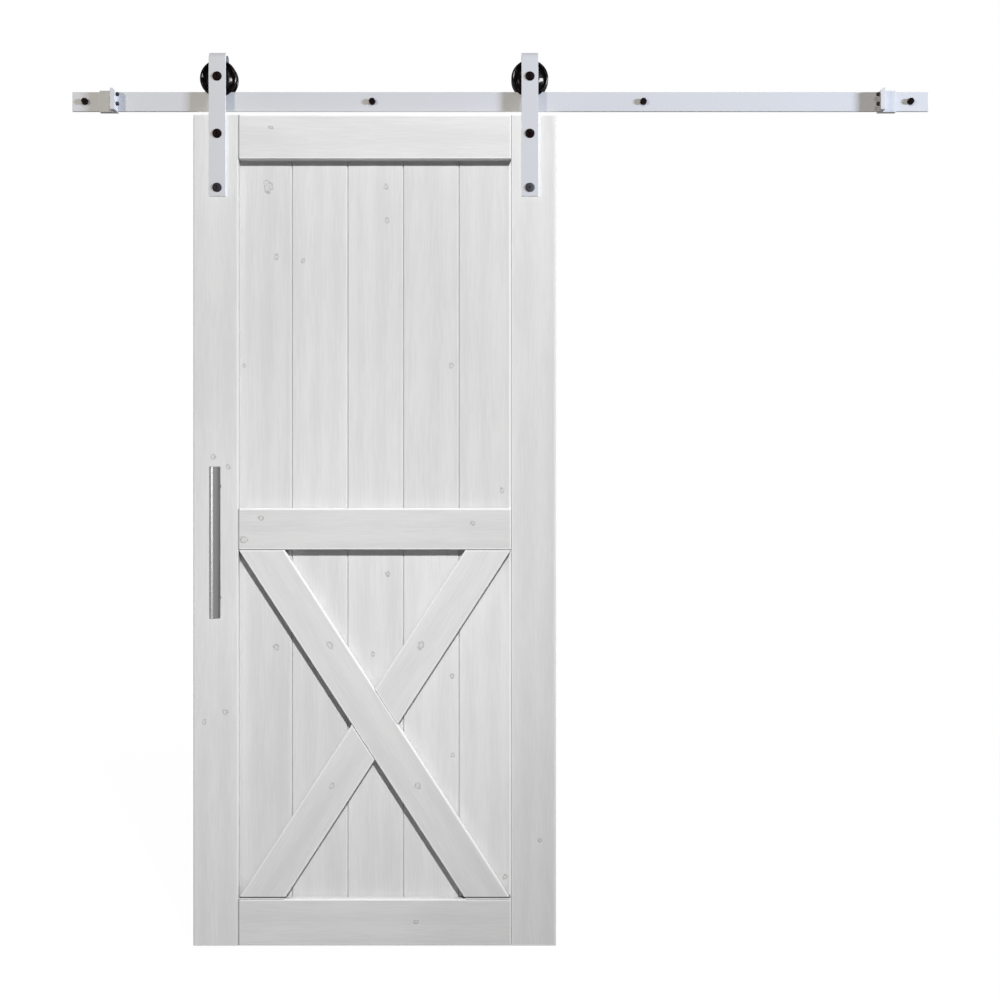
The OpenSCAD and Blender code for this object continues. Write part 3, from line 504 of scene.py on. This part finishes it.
def paint_board(name, number, lean, knots=(), lines=()):
    """White brushed paint on one board. Its grain leans from upright, towards the left, by the angle lean.
    Each knot is (x, z, radius, stretch) in the part's frame. Each line, a painted shade line or a painted
    highlight line, is (axis, place, reach, core, share, colour). board_painted_light lightens or darkens
    each board as painted light."""
    painted_light = board_painted_light.get(name, 1.0)
    # Colour of the painted highlight along the board's arrises.
    rim = next((quiet for kind, quiet in arris_highlight_quiet.items() if kind in name), arris_highlight)
    painted_arris_highlight = (rim, rim, rim, 1.0)
    thin = [channel * painted_light for channel in paint_grey[:3]] + [1.0]
    full = [channel * painted_light for channel in paint_white[:3]] + [1.0]
    material, tree, shader, place = new_material("painted_wood_" + name, Specular_IOR_Level=0.12)
    turn = add_node(tree, "ShaderNodeMapping", {"Rotation": (0.0, lean, 0.0)})
    tree.links.new(place, turn.inputs["Vector"])
    board = turn.outputs["Vector"]
    shift = add_node(tree, "ShaderNodeVectorMath", {1: (0.37 * number, 0.21 * number, 0.83 * number)},
                     operation="ADD")
    tree.links.new(board, shift.inputs[0])
    grain = use_group(tree, grain_group, Vector=shift.outputs["Vector"], Fibre_Scale=300.0,
                      Figure_Scale=5.0)
    arris = use_group(tree, edge_group, Radius=plank_edge if "plank" in name else highlight_reach)
    rounding = use_group(tree, edge_group, Radius=sharp_edge)
    corner = use_group(tree, corner_shade_group, Reach=0.026)
    upward = split(tree, add_node(tree, "ShaderNodeNewGeometry").outputs["Normal"])["Z"]
    # Painted highlight along the arrises, left off the edges that face down.
    film = calc(tree, "MULTIPLY", arris.outputs["Arris"], fade(tree, upward, -0.55, -0.25))
    share = calc(tree, "MULTIPLY", grain.outputs["Fibre"], fibre_share)
    share = calc(tree, "MULTIPLY_ADD", grain.outputs["Figure"], figure_share, share)
    share = calc(tree, "MULTIPLY_ADD", grain.outputs["Brush"], brush_share, share)
    tone = blend_colours(tree, fade(tree, share, 0.34, 0.66), thin, full)
    height = grain.outputs["Fibre"]
    for x, z, radius, stretch in knots:
        centre = (x * math.cos(lean) + z * math.sin(lean), 0.0, z * math.cos(lean) - x * math.sin(lean))
        knot = use_group(tree, knot_group, Vector=board, Centre=centre, Radius=radius, Stretch=stretch)
        mark = calc(tree, "MULTIPLY", knot.outputs["Ring"], ring_share)
        mark = calc(tree, "MULTIPLY_ADD", knot.outputs["Heart"], heart_share, mark)
        tone = blend_colours(tree, mark, tone, paint_knot)
        height = calc(tree, "MULTIPLY_ADD", knot.outputs["Ring"], ring_sunk, height)
    tone = blend_colours(tree, film, tone, painted_arris_highlight)
    # Painted shade: the paint is darkened where a spot lies deep in an inner corner.
    corner_shade = fade(tree, corner.outputs["Depth"], 0.10, 0.85, 0.0, 0.45)
    tone = blend_colours(tree, corner_shade, tone, painted_corner_shade)
    for axis, line, reach, core, most, colour in lines:
        off = calc(tree, "ABSOLUTE", calc(tree, "SUBTRACT", split(tree, place)[axis], line))
        tone = blend_colours(tree, fade(tree, off, reach, core, 0.0, most), tone, colour)
    tree.links.new(tone, shader.inputs["Base Color"])
    tree.links.new(fade(tree, grain.outputs["Brush"], 0.3, 0.7, 0.46, 0.60), shader.inputs["Roughness"])
    finish_bump(tree, shader, height, 0.22, 0.0006, rounding.outputs["Normal"])
    dress(material, name)


upright = 0.0
level = math.radians(-90.0)
# Lines: painted shade in the open joints at the rails' left ends beside their tenons, a painted highlight
# along the right stile, and painted shade in the gap at the feet of the braces.
tenon = 0.0100
highlight_inset = 0.0025
gap_rise = 0.0046
# Painted shade of the open joint at each rail's left end.
rail_end_shade = [("X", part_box("top_rail")[0].x + tenon, 0.0045, 0.0015, 0.85, painted_joint_shade)]
# Painted highlight along the last plank's edge beside the right stile.
stile_highlight_line = [("X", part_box("right_stile")[0].x - highlight_inset, 0.0045, 0.0015, 0.80, painted_stile_highlight)]
# Painted shade in the gap at the feet of the braces.
brace_foot_shade = [("Z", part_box("long_brace")[0].z + gap_rise, 0.0022, 0.0012, 0.97, painted_gap_shade)]
stile_knots = [(-0.731, -0.918, 0.0055, 1.2), (-0.693, -0.944, 0.0045, 1.2), (-0.700, -1.573, 0.0060, 1.1),
               (-0.754, -1.599, 0.0055, 1.1)]
mid_rail_knots = [(-0.608, -1.075, 0.0055, 1.3), (-0.064, -1.088, 0.0050, 1.3),
                  (-0.652, -1.131, 0.0075, 1.2)]
paint_board("left_stile", 1, upright, stile_knots)
paint_board("right_stile", 2, upright, [(0.108, -1.902, 0.0040, 1.3)])
paint_board("top_rail", 3, level, [(-0.583, -0.072, 0.0035, 1.5)], rail_end_shade)
paint_board("mid_rail", 4, level, mid_rail_knots, rail_end_shade)
paint_board("bottom_rail", 5, level, [(-0.210, -2.112, 0.0040, 1.4)], rail_end_shade)

dowel_pale = (0.58, 0.42, 0.25, 1.0)
dowel_dark = (0.42, 0.27, 0.14, 1.0)
raw_wood, tree, shader, place = new_material("raw_wood", Roughness=0.72, Specular_IOR_Level=0.25)
turn = add_node(tree, "ShaderNodeMapping", {"Rotation": (0.0, level, 0.0)})
tree.links.new(place, turn.inputs["Vector"])
grain = use_group(tree, grain_group, Vector=turn.outputs["Vector"], Fibre_Scale=900.0, Figure_Scale=60.0)
tone = blend_colours(tree, grain.outputs["Figure"], dowel_dark, dowel_pale)
tree.links.new(tone, shader.inputs["Base Color"])
finish_bump(tree, shader, grain.outputs["Fibre"], 0.3, 0.0003)
dress(raw_wood, "frame_dowels")

# Plank panels
# Tongue-and-groove pine planks with V joints, loose in the frame's grooves and painted like the frame.
# Each plank has its own run of grain, and a few have knots.
plank_knots = {
    "upper_plank_1": [(-0.594, -0.219, 0.0120, 1.3), (-0.571, -0.400, 0.0060, 1.3),
                      (-0.656, -0.681, 0.0040, 1.2)],
    "upper_plank_2": [(-0.503, -0.410, 0.0042, 1.3)],
    "upper_plank_3": [(-0.289, -0.219, 0.0055, 1.2), (-0.286, -0.305, 0.0050, 1.2)],
    "upper_plank_4": [(-0.120, -0.681, 0.0052, 1.2)],
    "upper_plank_5": [(0.011, -1.003, 0.0045, 1.3)],
    "lower_plank_1": [(-0.573, -1.409, 0.0060, 1.2)],
    "lower_plank_3": [(-0.284, -1.220, 0.0050, 1.2), (-0.323, -1.427, 0.0045, 1.2)],
    "lower_plank_4": [(-0.118, -1.484, 0.0045, 1.2), (-0.116, -1.688, 0.0045, 1.2)],
    "lower_plank_5": [(0.019, -2.003, 0.0050, 1.2)],
}
plank_count = 5
for row, first in (("upper", 10), ("lower", 20)):
    for count in range(1, plank_count + 1):
        plank = f"{row}_plank_{count}"
        # The last plank in each row gets the painted highlight line beside the right stile.
        highlight_line = stile_highlight_line if count == plank_count else ()
        paint_board(plank, first + count, upright, plank_knots.get(plank, ()), highlight_line)

# Braces and their screws
# Three painted boards make the X: one runs through, two butt against it. Countersunk zinc screws hold them
# from behind the planks, with their cross recesses showing on the door's back.
brace_lean = math.radians(33.02)
paint_board("long_brace", 31, brace_lean, [(-0.431, -1.401, 0.0065, 1.6), (-0.205, -1.763, 0.0065, 1.2)],
            brace_foot_shade)
paint_board("upper_half_brace", 32, -brace_lean, [(-0.197, -1.401, 0.0065, 1.6)])
paint_board("lower_half_brace", 33, -brace_lean, [(-0.426, -1.763, 0.0065, 1.2)], brace_foot_shade)

screw_sizes = ("Head Radius", "Head Height", "Recess Width", "Recess Depth", "Core Radius", "Crest Radius",
               "Length", "Pitch")
screw_tree, screw_in, screw_out = new_geometry_tree("brace_screw", screw_sizes)
size = screw_in.outputs
cone = turned(screw_tree, 36, size["Head Radius"], size["Core Radius"], size["Head Height"], 0.0)
for first, second in (("Recess Width", "Core Radius"), ("Core Radius", "Recess Width")):
    extent = add_node(screw_tree, "ShaderNodeCombineXYZ")
    screw_tree.links.new(size[first], extent.inputs["X"])
    screw_tree.links.new(size[second], extent.inputs["Y"])
    screw_tree.links.new(calc(screw_tree, "MULTIPLY", size["Recess Depth"], 2.0), extent.inputs["Z"])
    slot_box = add_node(screw_tree, "GeometryNodeMeshCube")
    screw_tree.links.new(extent.outputs["Vector"], slot_box.inputs["Size"])
    cone = carved(screw_tree, "DIFFERENCE", cone, slot_box.outputs["Mesh"])
run = calc(screw_tree, "SUBTRACT", size["Length"], size["Head Height"])
taper = calc(screw_tree, "MULTIPLY", size["Core Radius"], 2.0)
straight = calc(screw_tree, "SUBTRACT", run, taper)
core = turned(screw_tree, 20, size["Core Radius"], size["Core Radius"], straight, size["Head Height"])
ridge = thread(screw_tree, size["Core Radius"], size["Crest Radius"], straight, size["Head Height"],
               size["Pitch"])
point = turned(screw_tree, 20, size["Core Radius"], 0.0002, taper,
               calc(screw_tree, "ADD", size["Head Height"], straight))
repeat_along_wall_axis(screw_tree, screw_in, screw_out, [cone, core, ridge, point], 90.0)

screw_low, screw_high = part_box("brace_screws")
brace_low, brace_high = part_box("long_brace")
brace_middle = (brace_low + brace_high) / 2.0
screw_head = 0.004
outer_x = (screw_high.x - screw_low.x) / 2.0 - screw_head
outer_z = (screw_high.z - screw_low.z) / 2.0 - screw_head
screw_places = []
for step in (-1.0, -4.0 / 7.0, 4.0 / 7.0, 1.0):
    for side in (-1.0, 1.0):
        screw_x = brace_middle.x + side * step * outer_x
        screw_places.append((screw_x, screw_high.y, brace_middle.z + step * outer_z))
brace_screws = grow("recessed_brace_screws", screw_places, screw_tree, zinc, {
    "Head Radius": screw_head, "Head Height": 0.002, "Recess Width": 0.0042, "Recess Depth": 0.0012,
    "Core Radius": 0.0014, "Crest Radius": 0.0020, "Length": screw_high.y - screw_low.y, "Pitch": 0.0021,
})
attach(brace_screws, "door")
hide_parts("brace_screws")

# Pull bar, its posts and bolts
# Round stainless bar on two round posts, brushed along its length. Button-head bolts come through the stile
# from behind into the posts.
brushed_group, brushed_in, brushed_out = new_group(
    "brushed_lines",
    (("Vector", "NodeSocketVector"), ("Line Scale", "NodeSocketFloat")),
    (("Line", "NodeSocketFloat"), ("Smear", "NodeSocketFloat")),
)
for socket, share, scale, detail in (("Line", 0.003, 1.0, 2.0), ("Smear", 0.04, 0.06, 1.0)):
    noise = add_node(brushed_group, "ShaderNodeTexNoise", {"Detail": detail, "Roughness": 0.65})
    strokes = drawn_out(brushed_group, brushed_in.outputs["Vector"], share)
    fineness = calc(brushed_group, "MULTIPLY", brushed_in.outputs["Line Scale"], scale)
    brushed_group.links.new(strokes, noise.inputs["Vector"])
    brushed_group.links.new(fineness, noise.inputs["Scale"])
    brushed_group.links.new(noise.outputs["Fac"], brushed_out.inputs[socket])

steel_bright = (0.222, 0.222, 0.222, 1.0)
steel_shade = (0.197, 0.197, 0.197, 1.0)
stainless, tree, shader, place = new_material("stainless", Metallic=1.0)
lines = use_group(tree, brushed_group, Vector=place, Line_Scale=1900.0)
tone = blend_colours(tree, fade(tree, lines.outputs["Line"], 0.25, 0.75), steel_shade, steel_bright)
tree.links.new(tone, shader.inputs["Base Color"])
tree.links.new(fade(tree, lines.outputs["Smear"], 0.3, 0.7, 0.345, 0.360), shader.inputs["Roughness"])
finish_bump(tree, shader, lines.outputs["Line"], 0.008, 0.0001)
dress(stainless, "pull_bar", "pull_posts")

root_share = 0.87
crest_share = 0.985
bolt_sizes = ("Head Radius", "Head Height", "Crown Radius", "Socket Width", "Socket Depth", "Shank Radius",
              "Length", "Thread Length", "Pitch")


def ball_at(tree, radius, height):
    """A fine sphere with its middle at a height on Z."""
    ball = add_node(tree, "GeometryNodeMeshUVSphere", {"Segments": 64, "Rings": 48})
    tree.links.new(radius, ball.inputs["Radius"])
    return lifted(tree, ball.outputs["Mesh"], height)


def bolt_tree(name, turn):
    """A Geometry Nodes tree for a button-head bolt with a hexagon socket and a thread at its end."""
    tree, inputs, output = new_geometry_tree(name, bolt_sizes)
    size = inputs.outputs
    top = calc(tree, "MULTIPLY", size["Head Height"], -1.0)
    blank = turned(tree, 48, size["Head Radius"], size["Head Radius"], size["Head Height"], top)
    middle = calc(tree, "SUBTRACT", size["Crown Radius"], size["Head Height"])
    head = carved(tree, "INTERSECT", blank, ball_at(tree, size["Crown Radius"], middle))
    corner = calc(tree, "DIVIDE", size["Socket Width"], math.sqrt(3.0))
    deep = calc(tree, "MULTIPLY", size["Socket Depth"], 2.0)
    socket = turned(tree, 6, corner, corner, deep, calc(tree, "SUBTRACT", top, size["Socket Depth"]))
    head = carved(tree, "DIFFERENCE", head, socket)
    plain = calc(tree, "SUBTRACT", size["Length"], size["Thread Length"])
    shank = turned(tree, 32, size["Shank Radius"], size["Shank Radius"], plain, 0.0)
    root = calc(tree, "MULTIPLY", size["Shank Radius"], root_share)
    core = turned(tree, 32, root, root, size["Thread Length"], plain)
    cut = calc(tree, "SUBTRACT", size["Thread Length"], size["Pitch"])
    crest = calc(tree, "MULTIPLY", size["Shank Radius"], crest_share)
    ridge = thread(tree, root, crest, cut, calc(tree, "MULTIPLY_ADD", size["Pitch"], 0.5, plain),
                   size["Pitch"])
    repeat_along_wall_axis(tree, inputs, output, [head, shank, core, ridge], turn)
    return tree


pull_low, pull_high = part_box("pull_bolts")
door_low, door_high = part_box("left_stile")
pull_x = (pull_low.x + pull_high.x) / 2.0
pull_head_radius = (pull_high.x - pull_low.x) / 2.0
pull_z = (pull_low.z + pull_head_radius, pull_high.z - pull_head_radius)
pull_places = [(pull_x, door_high.y, z) for z in pull_z]
pull_bolts = grow("pull_bar_bolts", pull_places, bolt_tree("bolt_from_behind", 90.0), zinc, {
    "Head Radius": pull_head_radius, "Head Height": pull_high.y - door_high.y, "Crown Radius": 0.009,
    "Socket Width": 0.004, "Socket Depth": 0.0020, "Shank Radius": 0.0030,
    "Length": door_high.y - pull_low.y, "Thread Length": 0.020, "Pitch": 0.0010,
})
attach(pull_bolts, "door")
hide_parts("pull_bolts")

# Hangers
# Two flat steel straps, each bent over its wheel into a hook, coated like the rail.
dress(powder_coat, "left_hanger", "right_hanger")

# Door bolts, washers and nuts
# Button-head bolts with a black-oxide finish pass through strap and stile, the lower two greyer, the right
# one most.
# Zinc washers and nuts draw them up behind the door.
front_bolt_tree = bolt_tree("bolt_from_front", -90.0)
strap_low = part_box("left_hanger")[0]
bolt_low, bolt_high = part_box("door_bolts")
hanger_x = [(low.x + high.x) / 2.0 for low, high in (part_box("left_hanger"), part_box("right_hanger"))]
head_radius = (bolt_high.x - bolt_low.x - (hanger_x[1] - hanger_x[0])) / 2.0
bolt_z = (bolt_low.z + head_radius, bolt_high.z - head_radius)
bolt_places = [(x, strap_low.y, z) for x in hanger_x for z in bolt_z]
button_head = {"Crown Radius": 0.021, "Socket Width": 0.006, "Socket Depth": 0.0028, "Pitch": 0.0015}
door_bolts = grow("socket_door_bolts", bolt_places, front_bolt_tree, dark_bolts, {
    **button_head, "Head Radius": head_radius, "Head Height": strap_low.y - bolt_low.y,
    "Shank Radius": 0.0050, "Length": bolt_high.y - strap_low.y, "Thread Length": 0.016,
})
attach(door_bolts, "door")
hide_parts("door_bolts")
dress(zinc, "door_washers")

nut_sizes = ("Width", "Height", "Bore Radius", "Crown Radius")
nut_tree, nut_in, nut_out = new_geometry_tree("hexagon_nut", nut_sizes)
size = nut_in.outputs
corner = calc(nut_tree, "DIVIDE", size["Width"], math.sqrt(3.0))
hexagon = turned(nut_tree, 6, corner, corner, size["Height"], 0.0)
middle = calc(nut_tree, "DIVIDE", size["Height"], 2.0)
body = carved(nut_tree, "INTERSECT", hexagon, ball_at(nut_tree, size["Crown Radius"], middle))
bore_length = calc(nut_tree, "MULTIPLY", size["Height"], 2.0)
bore_start = calc(nut_tree, "MULTIPLY", size["Height"], -0.5)
bore = turned(nut_tree, 40, size["Bore Radius"], size["Bore Radius"], bore_length, bore_start)
repeat_along_wall_axis(nut_tree, nut_in, nut_out, [carved(nut_tree, "DIFFERENCE", body, bore)])

nut_low, nut_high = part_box("door_nuts")
nut_width = 0.017
nut_crown = nut_width * 0.564
nut_places = [(x, nut_low.y, z) for x in hanger_x for z in bolt_z]
door_nuts = grow("chamfered_door_nuts", nut_places, nut_tree, zinc, {
    "Width": nut_width, "Height": nut_high.y - nut_low.y, "Bore Radius": 0.00505, "Crown Radius": nut_crown,
})
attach(door_nuts, "door")
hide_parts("door_nuts")

# Axles
# A black bolt through both legs of each hanger carries the wheel's bearing between two zinc sleeves, with a
# thin nut behind the rear leg.
axle_low, axle_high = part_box("axle_bolts")
axle_z = (axle_low.z + axle_high.z) / 2.0
axle_places = [(x, strap_low.y, axle_z) for x in hanger_x]
axle_bolts = grow("socket_axle_bolts", axle_places, front_bolt_tree, dark_bolts, {
    **button_head, "Head Radius": (axle_high.z - axle_low.z) / 2.0, "Head Height": strap_low.y - axle_low.y,
    "Shank Radius": 0.0060, "Length": axle_high.y - strap_low.y, "Thread Length": 0.012,
})
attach(axle_bolts, "door")
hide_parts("axle_bolts")
axle_nut_low, axle_nut_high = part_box("axle_nuts")
axle_nut_width = 0.019
axle_nut_crown = axle_nut_width * 0.552
axle_nuts = grow("thin_axle_nuts", [(x, axle_nut_low.y, axle_z) for x in hanger_x], nut_tree, zinc, {
    "Width": axle_nut_width, "Height": axle_nut_high.y - axle_nut_low.y, "Bore Radius": 0.00605,
    "Crown Radius": axle_nut_crown,
})
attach(axle_nuts, "door")
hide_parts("axle_nuts")
dress(zinc, "axle_spacers")

# Ball bearings
# Ground steel rings and balls, one bearing in each wheel's hub.
ring_pale = (0.66, 0.66, 0.67, 1.0)
ring_dark = (0.46, 0.46, 0.47, 1.0)
bearing_steel, tree, shader, place = new_material("bearing_steel", Metallic=1.0)
skin = use_group(tree, skin_group, Vector=place, Peel_Scale=2600.0, Mottle_Scale=300.0)
tone = blend_colours(tree, skin.outputs["Mottle"], ring_dark, ring_pale)
tree.links.new(tone, shader.inputs["Base Color"])
tree.links.new(fade(tree, skin.outputs["Mottle"], 0.2, 0.8, 0.10, 0.22), shader.inputs["Roughness"])
for hand in ("left", "right"):
    dress(bearing_steel, f"{hand}_inner_ring", f"{hand}_outer_ring", f"{hand}_balls")

# Wheels
# Flanged wheels of hard black plastic with domed faces, polished to a deep gloss over a faint skin and
# scuffed in patches.
gloss_black = (0.0018, 0.0006, 0.0009, 1.0)
gloss_scuff = (0.0036, 0.0022, 0.0026, 1.0)
wheel_black, tree, shader, place = new_material("wheel_black", Specular_IOR_Level=0.042)
skin = use_group(tree, skin_group, Vector=place, Peel_Scale=900.0, Mottle_Scale=60.0)
arris = use_group(tree, edge_group, Radius=0.0008)
tone = blend_colours(tree, fade(tree, skin.outputs["Mottle"], 0.4, 0.8), gloss_black, gloss_scuff)
tree.links.new(tone, shader.inputs["Base Color"])
tree.links.new(fade(tree, skin.outputs["Mottle"], 0.3, 0.8, 0.13, 0.24), shader.inputs["Roughness"])
finish_bump(tree, shader, skin.outputs["Peel"], 0.04, 0.0002, arris.outputs["Normal"])
dress(wheel_black, "left_wheel", "right_wheel")

# Studio
# A pale floor a finger's width under the leaf, and a white surround. A key lamp and a spot, high in front
# on the right, and a low lamp on the right light the leaf. Front, warm and blue lamps light the track, two
# more draw the lights on wheels and pull bar, and a pair lights the back.
floor_drop = 0.012
floor_half = 30.0
glow_start = 2.4
glow_end = 4.2
paper_grey = (0.32, 0.32, 0.32, 1.0)
fill_white = (1.0, 0.99, 0.975, 1.0)
fill_level = 0.045
lamp_white = (1.0, 1.0, 1.0)
key_white = (1.0, 1.0, 0.998)
floor_z = door_low.z - floor_drop
floor_mesh = bpy.data.meshes.new("studio_floor")
corners = ((-1.0, -1.0), (1.0, -1.0), (1.0, 1.0), (-1.0, 1.0))
floor_mesh.from_pydata([(x * floor_half, y * floor_half, floor_z) for x, y in corners], [], [(0, 1, 2, 3)])
floor = bpy.data.objects.new("studio_floor", floor_mesh)
bpy.context.scene.collection.objects.link(floor)
floor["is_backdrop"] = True


def seen_rays(tree):
    """One for rays that come from the camera, a gloss or glass, and none for the rest."""
    path = add_node(tree, "ShaderNodeLightPath").outputs
    return calc(tree, "MAXIMUM", path["Is Camera Ray"],
                calc(tree, "MAXIMUM", path["Is Glossy Ray"], path["Is Transmission Ray"]))


floor_pale = bpy.data.materials.new("studio_floor")
floor_pale.use_nodes = True
tree = floor_pale.node_tree
tree.nodes.clear()
paper = add_node(tree, "ShaderNodeBsdfDiffuse", {"Color": paper_grey})
glow = add_node(tree, "ShaderNodeEmission", {"Color": (1.0, 1.0, 1.0, 1.0)})
away = add_node(tree, "ShaderNodeVectorMath", operation="LENGTH")
tree.links.new(tree.nodes.new("ShaderNodeTexCoord").outputs["Object"], away.inputs[0])
paper_share = fade(tree, away.outputs["Value"], glow_start, glow_end, 0.14, 0.0)
glow_share = calc(tree, "SUBTRACT", 1.0, paper_share)
glow_level = fade(tree, away.outputs["Value"], glow_start, glow_end, 0.985, 1.0)
tree.links.new(calc(tree, "DIVIDE", glow_level, glow_share), glow.inputs["Strength"])
shown = add_node(tree, "ShaderNodeMixShader")
tree.links.new(calc(tree, "MULTIPLY", seen_rays(tree), glow_share), shown.inputs[0])
tree.links.new(paper.outputs[0], shown.inputs[1])
tree.links.new(glow.outputs[0], shown.inputs[2])
sheet = add_node(tree, "ShaderNodeOutputMaterial")
tree.links.new(shown.outputs[0], sheet.inputs["Surface"])
floor_mesh.materials.append(floor_pale)

surround = bpy.data.worlds.new("studio")
bpy.context.scene.world = surround
surround.use_nodes = True
tree = surround.node_tree
tree.nodes.clear()
white = add_node(tree, "ShaderNodeBackground", {"Color": (1.0, 1.0, 1.0, 1.0), "Strength": 1.0})
fill = add_node(tree, "ShaderNodeBackground", {"Color": fill_white, "Strength": fill_level})
either = add_node(tree, "ShaderNodeMixShader")
tree.links.new(seen_rays(tree), either.inputs[0])
tree.links.new(fill.outputs[0], either.inputs[1])
tree.links.new(white.outputs[0], either.inputs[2])
output = add_node(tree, "ShaderNodeOutputWorld")
tree.links.new(either.outputs[0], output.inputs["Surface"])


def place_lamp(name, kind, place, target, power, colour, **settings):
    """Adds a lamp at a place, aimed at a target."""
    lamp = bpy.data.lights.new(name, kind)
    lamp.energy = power
    lamp.color = colour
    for key, value in settings.items():
        setattr(lamp, key, value)
    holder = bpy.data.objects.new(name, lamp)
    bpy.context.scene.collection.objects.link(holder)
    holder.location = place
    holder.rotation_euler = (Vector(target) - Vector(place)).to_track_quat("-Z", "Y").to_euler()
    return holder


key_place = (1.58, -4.98, 3.40)
front_place = (1.31, -5.05, 3.40)
track_middle = (0.0, -0.05, 0.0)
key_lamp = place_lamp("key_lamp", "AREA", key_place, (-0.32, -0.05, -0.9), 468.0, key_white,
                      shape="DISK", size=0.45)
middle_lamp = place_lamp("middle_lamp", "SPOT", key_place, (-0.50, -0.05, -1.50), 485.0, key_white,
                         spot_size=math.radians(13.0), spot_blend=1.0, shadow_soft_size=0.22)
edge_lamp = place_lamp("edge_lamp", "AREA", (9.0, -0.75, -0.9), (-0.3, -0.05, -1.1), 110.0, lamp_white,
                       shape="DISK", size=0.50)
front_lamp = place_lamp("front_lamp", "AREA", front_place, track_middle, 89.0, (1.0, 0.98, 0.95),
                        shape="DISK", size=0.80)
left_lamp = place_lamp("left_lamp", "AREA", (-4.5, -4.5, 0.9), track_middle, 158.0, (1.0, 0.94, 0.85),
                       shape="DISK", size=0.90)
right_lamp = place_lamp("right_lamp", "AREA", (7.4, -3.00, 0.20), track_middle, 1050.0, (0.70, 0.785, 0.98),
                        shape="RECTANGLE", size=1.2, size_y=1.2)
glint_lamp = place_lamp("glint_lamp", "AREA", (4.05, -4.20, 1.50), (-0.3, -0.05, 0.05), 4200.0, lamp_white,
                        shape="RECTANGLE", size=4.8, size_y=1.1)
glint_lamp.visible_diffuse = False
bar_lamp = place_lamp("bar_lamp", "AREA", (-3.68, -2.86, -0.45), (-0.716, -0.10, -0.60), 104.0,
                      (1.0, 1.0, 0.98), shape="RECTANGLE", size=1.8, size_y=2.0)
back_lamps = [place_lamp(f"back_lamp_{number}", "AREA", (side * 4.6, 4.2, 1.6), (-0.3, 0.0, -0.9), 235.0,
                         lamp_white, shape="DISK", size=1.2)
              for number, side in enumerate((-1.0, 1.0), 1)]

# Each lamp lights its own group. Key, spot and front lamp throw no shadow of the pull bar, hangers, wheels
# and right stile.
bar_pieces = {"pull_bar", "pull_posts"}
wheel_pieces = {"left_wheel", "right_wheel"}
hanger_pieces = {"left_hanger", "right_hanger", "socket_door_bolts", "socket_axle_bolts"}
board_pieces = {name for name in nodes if "plank" in name or "brace" in name or "stile" in name}
board_pieces |= {"top_rail", "mid_rail", "bottom_rail"}
lit_names = ("leaf_lit", "boards_lit", "track_lit", "wheels_lit", "bar_lit", "back_lit")
lit = {name: bpy.data.collections.new(name) for name in lit_names}
key_shades = bpy.data.collections.new("key_shades")
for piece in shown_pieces():
    if piece.name in bar_pieces:
        lit["bar_lit"].objects.link(piece)
        lit["leaf_lit"].objects.link(piece)
    elif piece.name in board_pieces:
        lit["leaf_lit"].objects.link(piece)
        lit["boards_lit"].objects.link(piece)
    else:
        lit["track_lit"].objects.link(piece)
    if piece.name in wheel_pieces:
        lit["wheels_lit"].objects.link(piece)
    elif piece.name not in bar_pieces:
        lit["back_lit"].objects.link(piece)
    if piece.name not in bar_pieces | hanger_pieces | wheel_pieces | {"right_stile"}:
        key_shades.objects.link(piece)
lit["leaf_lit"].objects.link(floor)
for lamp, name in ((key_lamp, "leaf_lit"), (middle_lamp, "leaf_lit"), (edge_lamp, "boards_lit"),
                   (front_lamp, "track_lit"), (left_lamp, "track_lit"), (right_lamp, "track_lit"),
                   (glint_lamp, "wheels_lit"), (bar_lamp, "bar_lit")):
    lamp.light_linking.receiver_collection = lit[name]
for lamp in back_lamps:
    lamp.light_linking.receiver_collection = lit["back_lit"]
for lamp in (key_lamp, middle_lamp, front_lamp):
    lamp.light_linking.blocker_collection = key_shades

# Camera
# It looks straight at the wall from 2.9 m in front of the leaf, at the height of the pull bar.
camera = bpy.data.objects.new("camera", bpy.data.cameras.new("camera"))
bpy.context.scene.collection.objects.link(camera)
camera.location = (0.0058, -2.954, -1.0285)
camera.rotation_euler = (math.radians(90.0), 0.0, 0.0)
camera.data.sensor_width = 36.0
camera.data.lens = 40.654
camera.data.clip_start = 0.05
camera.data.clip_end = 200.0
bpy.context.scene.camera = camera
bpy.context.scene.view_settings.view_transform = "Standard"
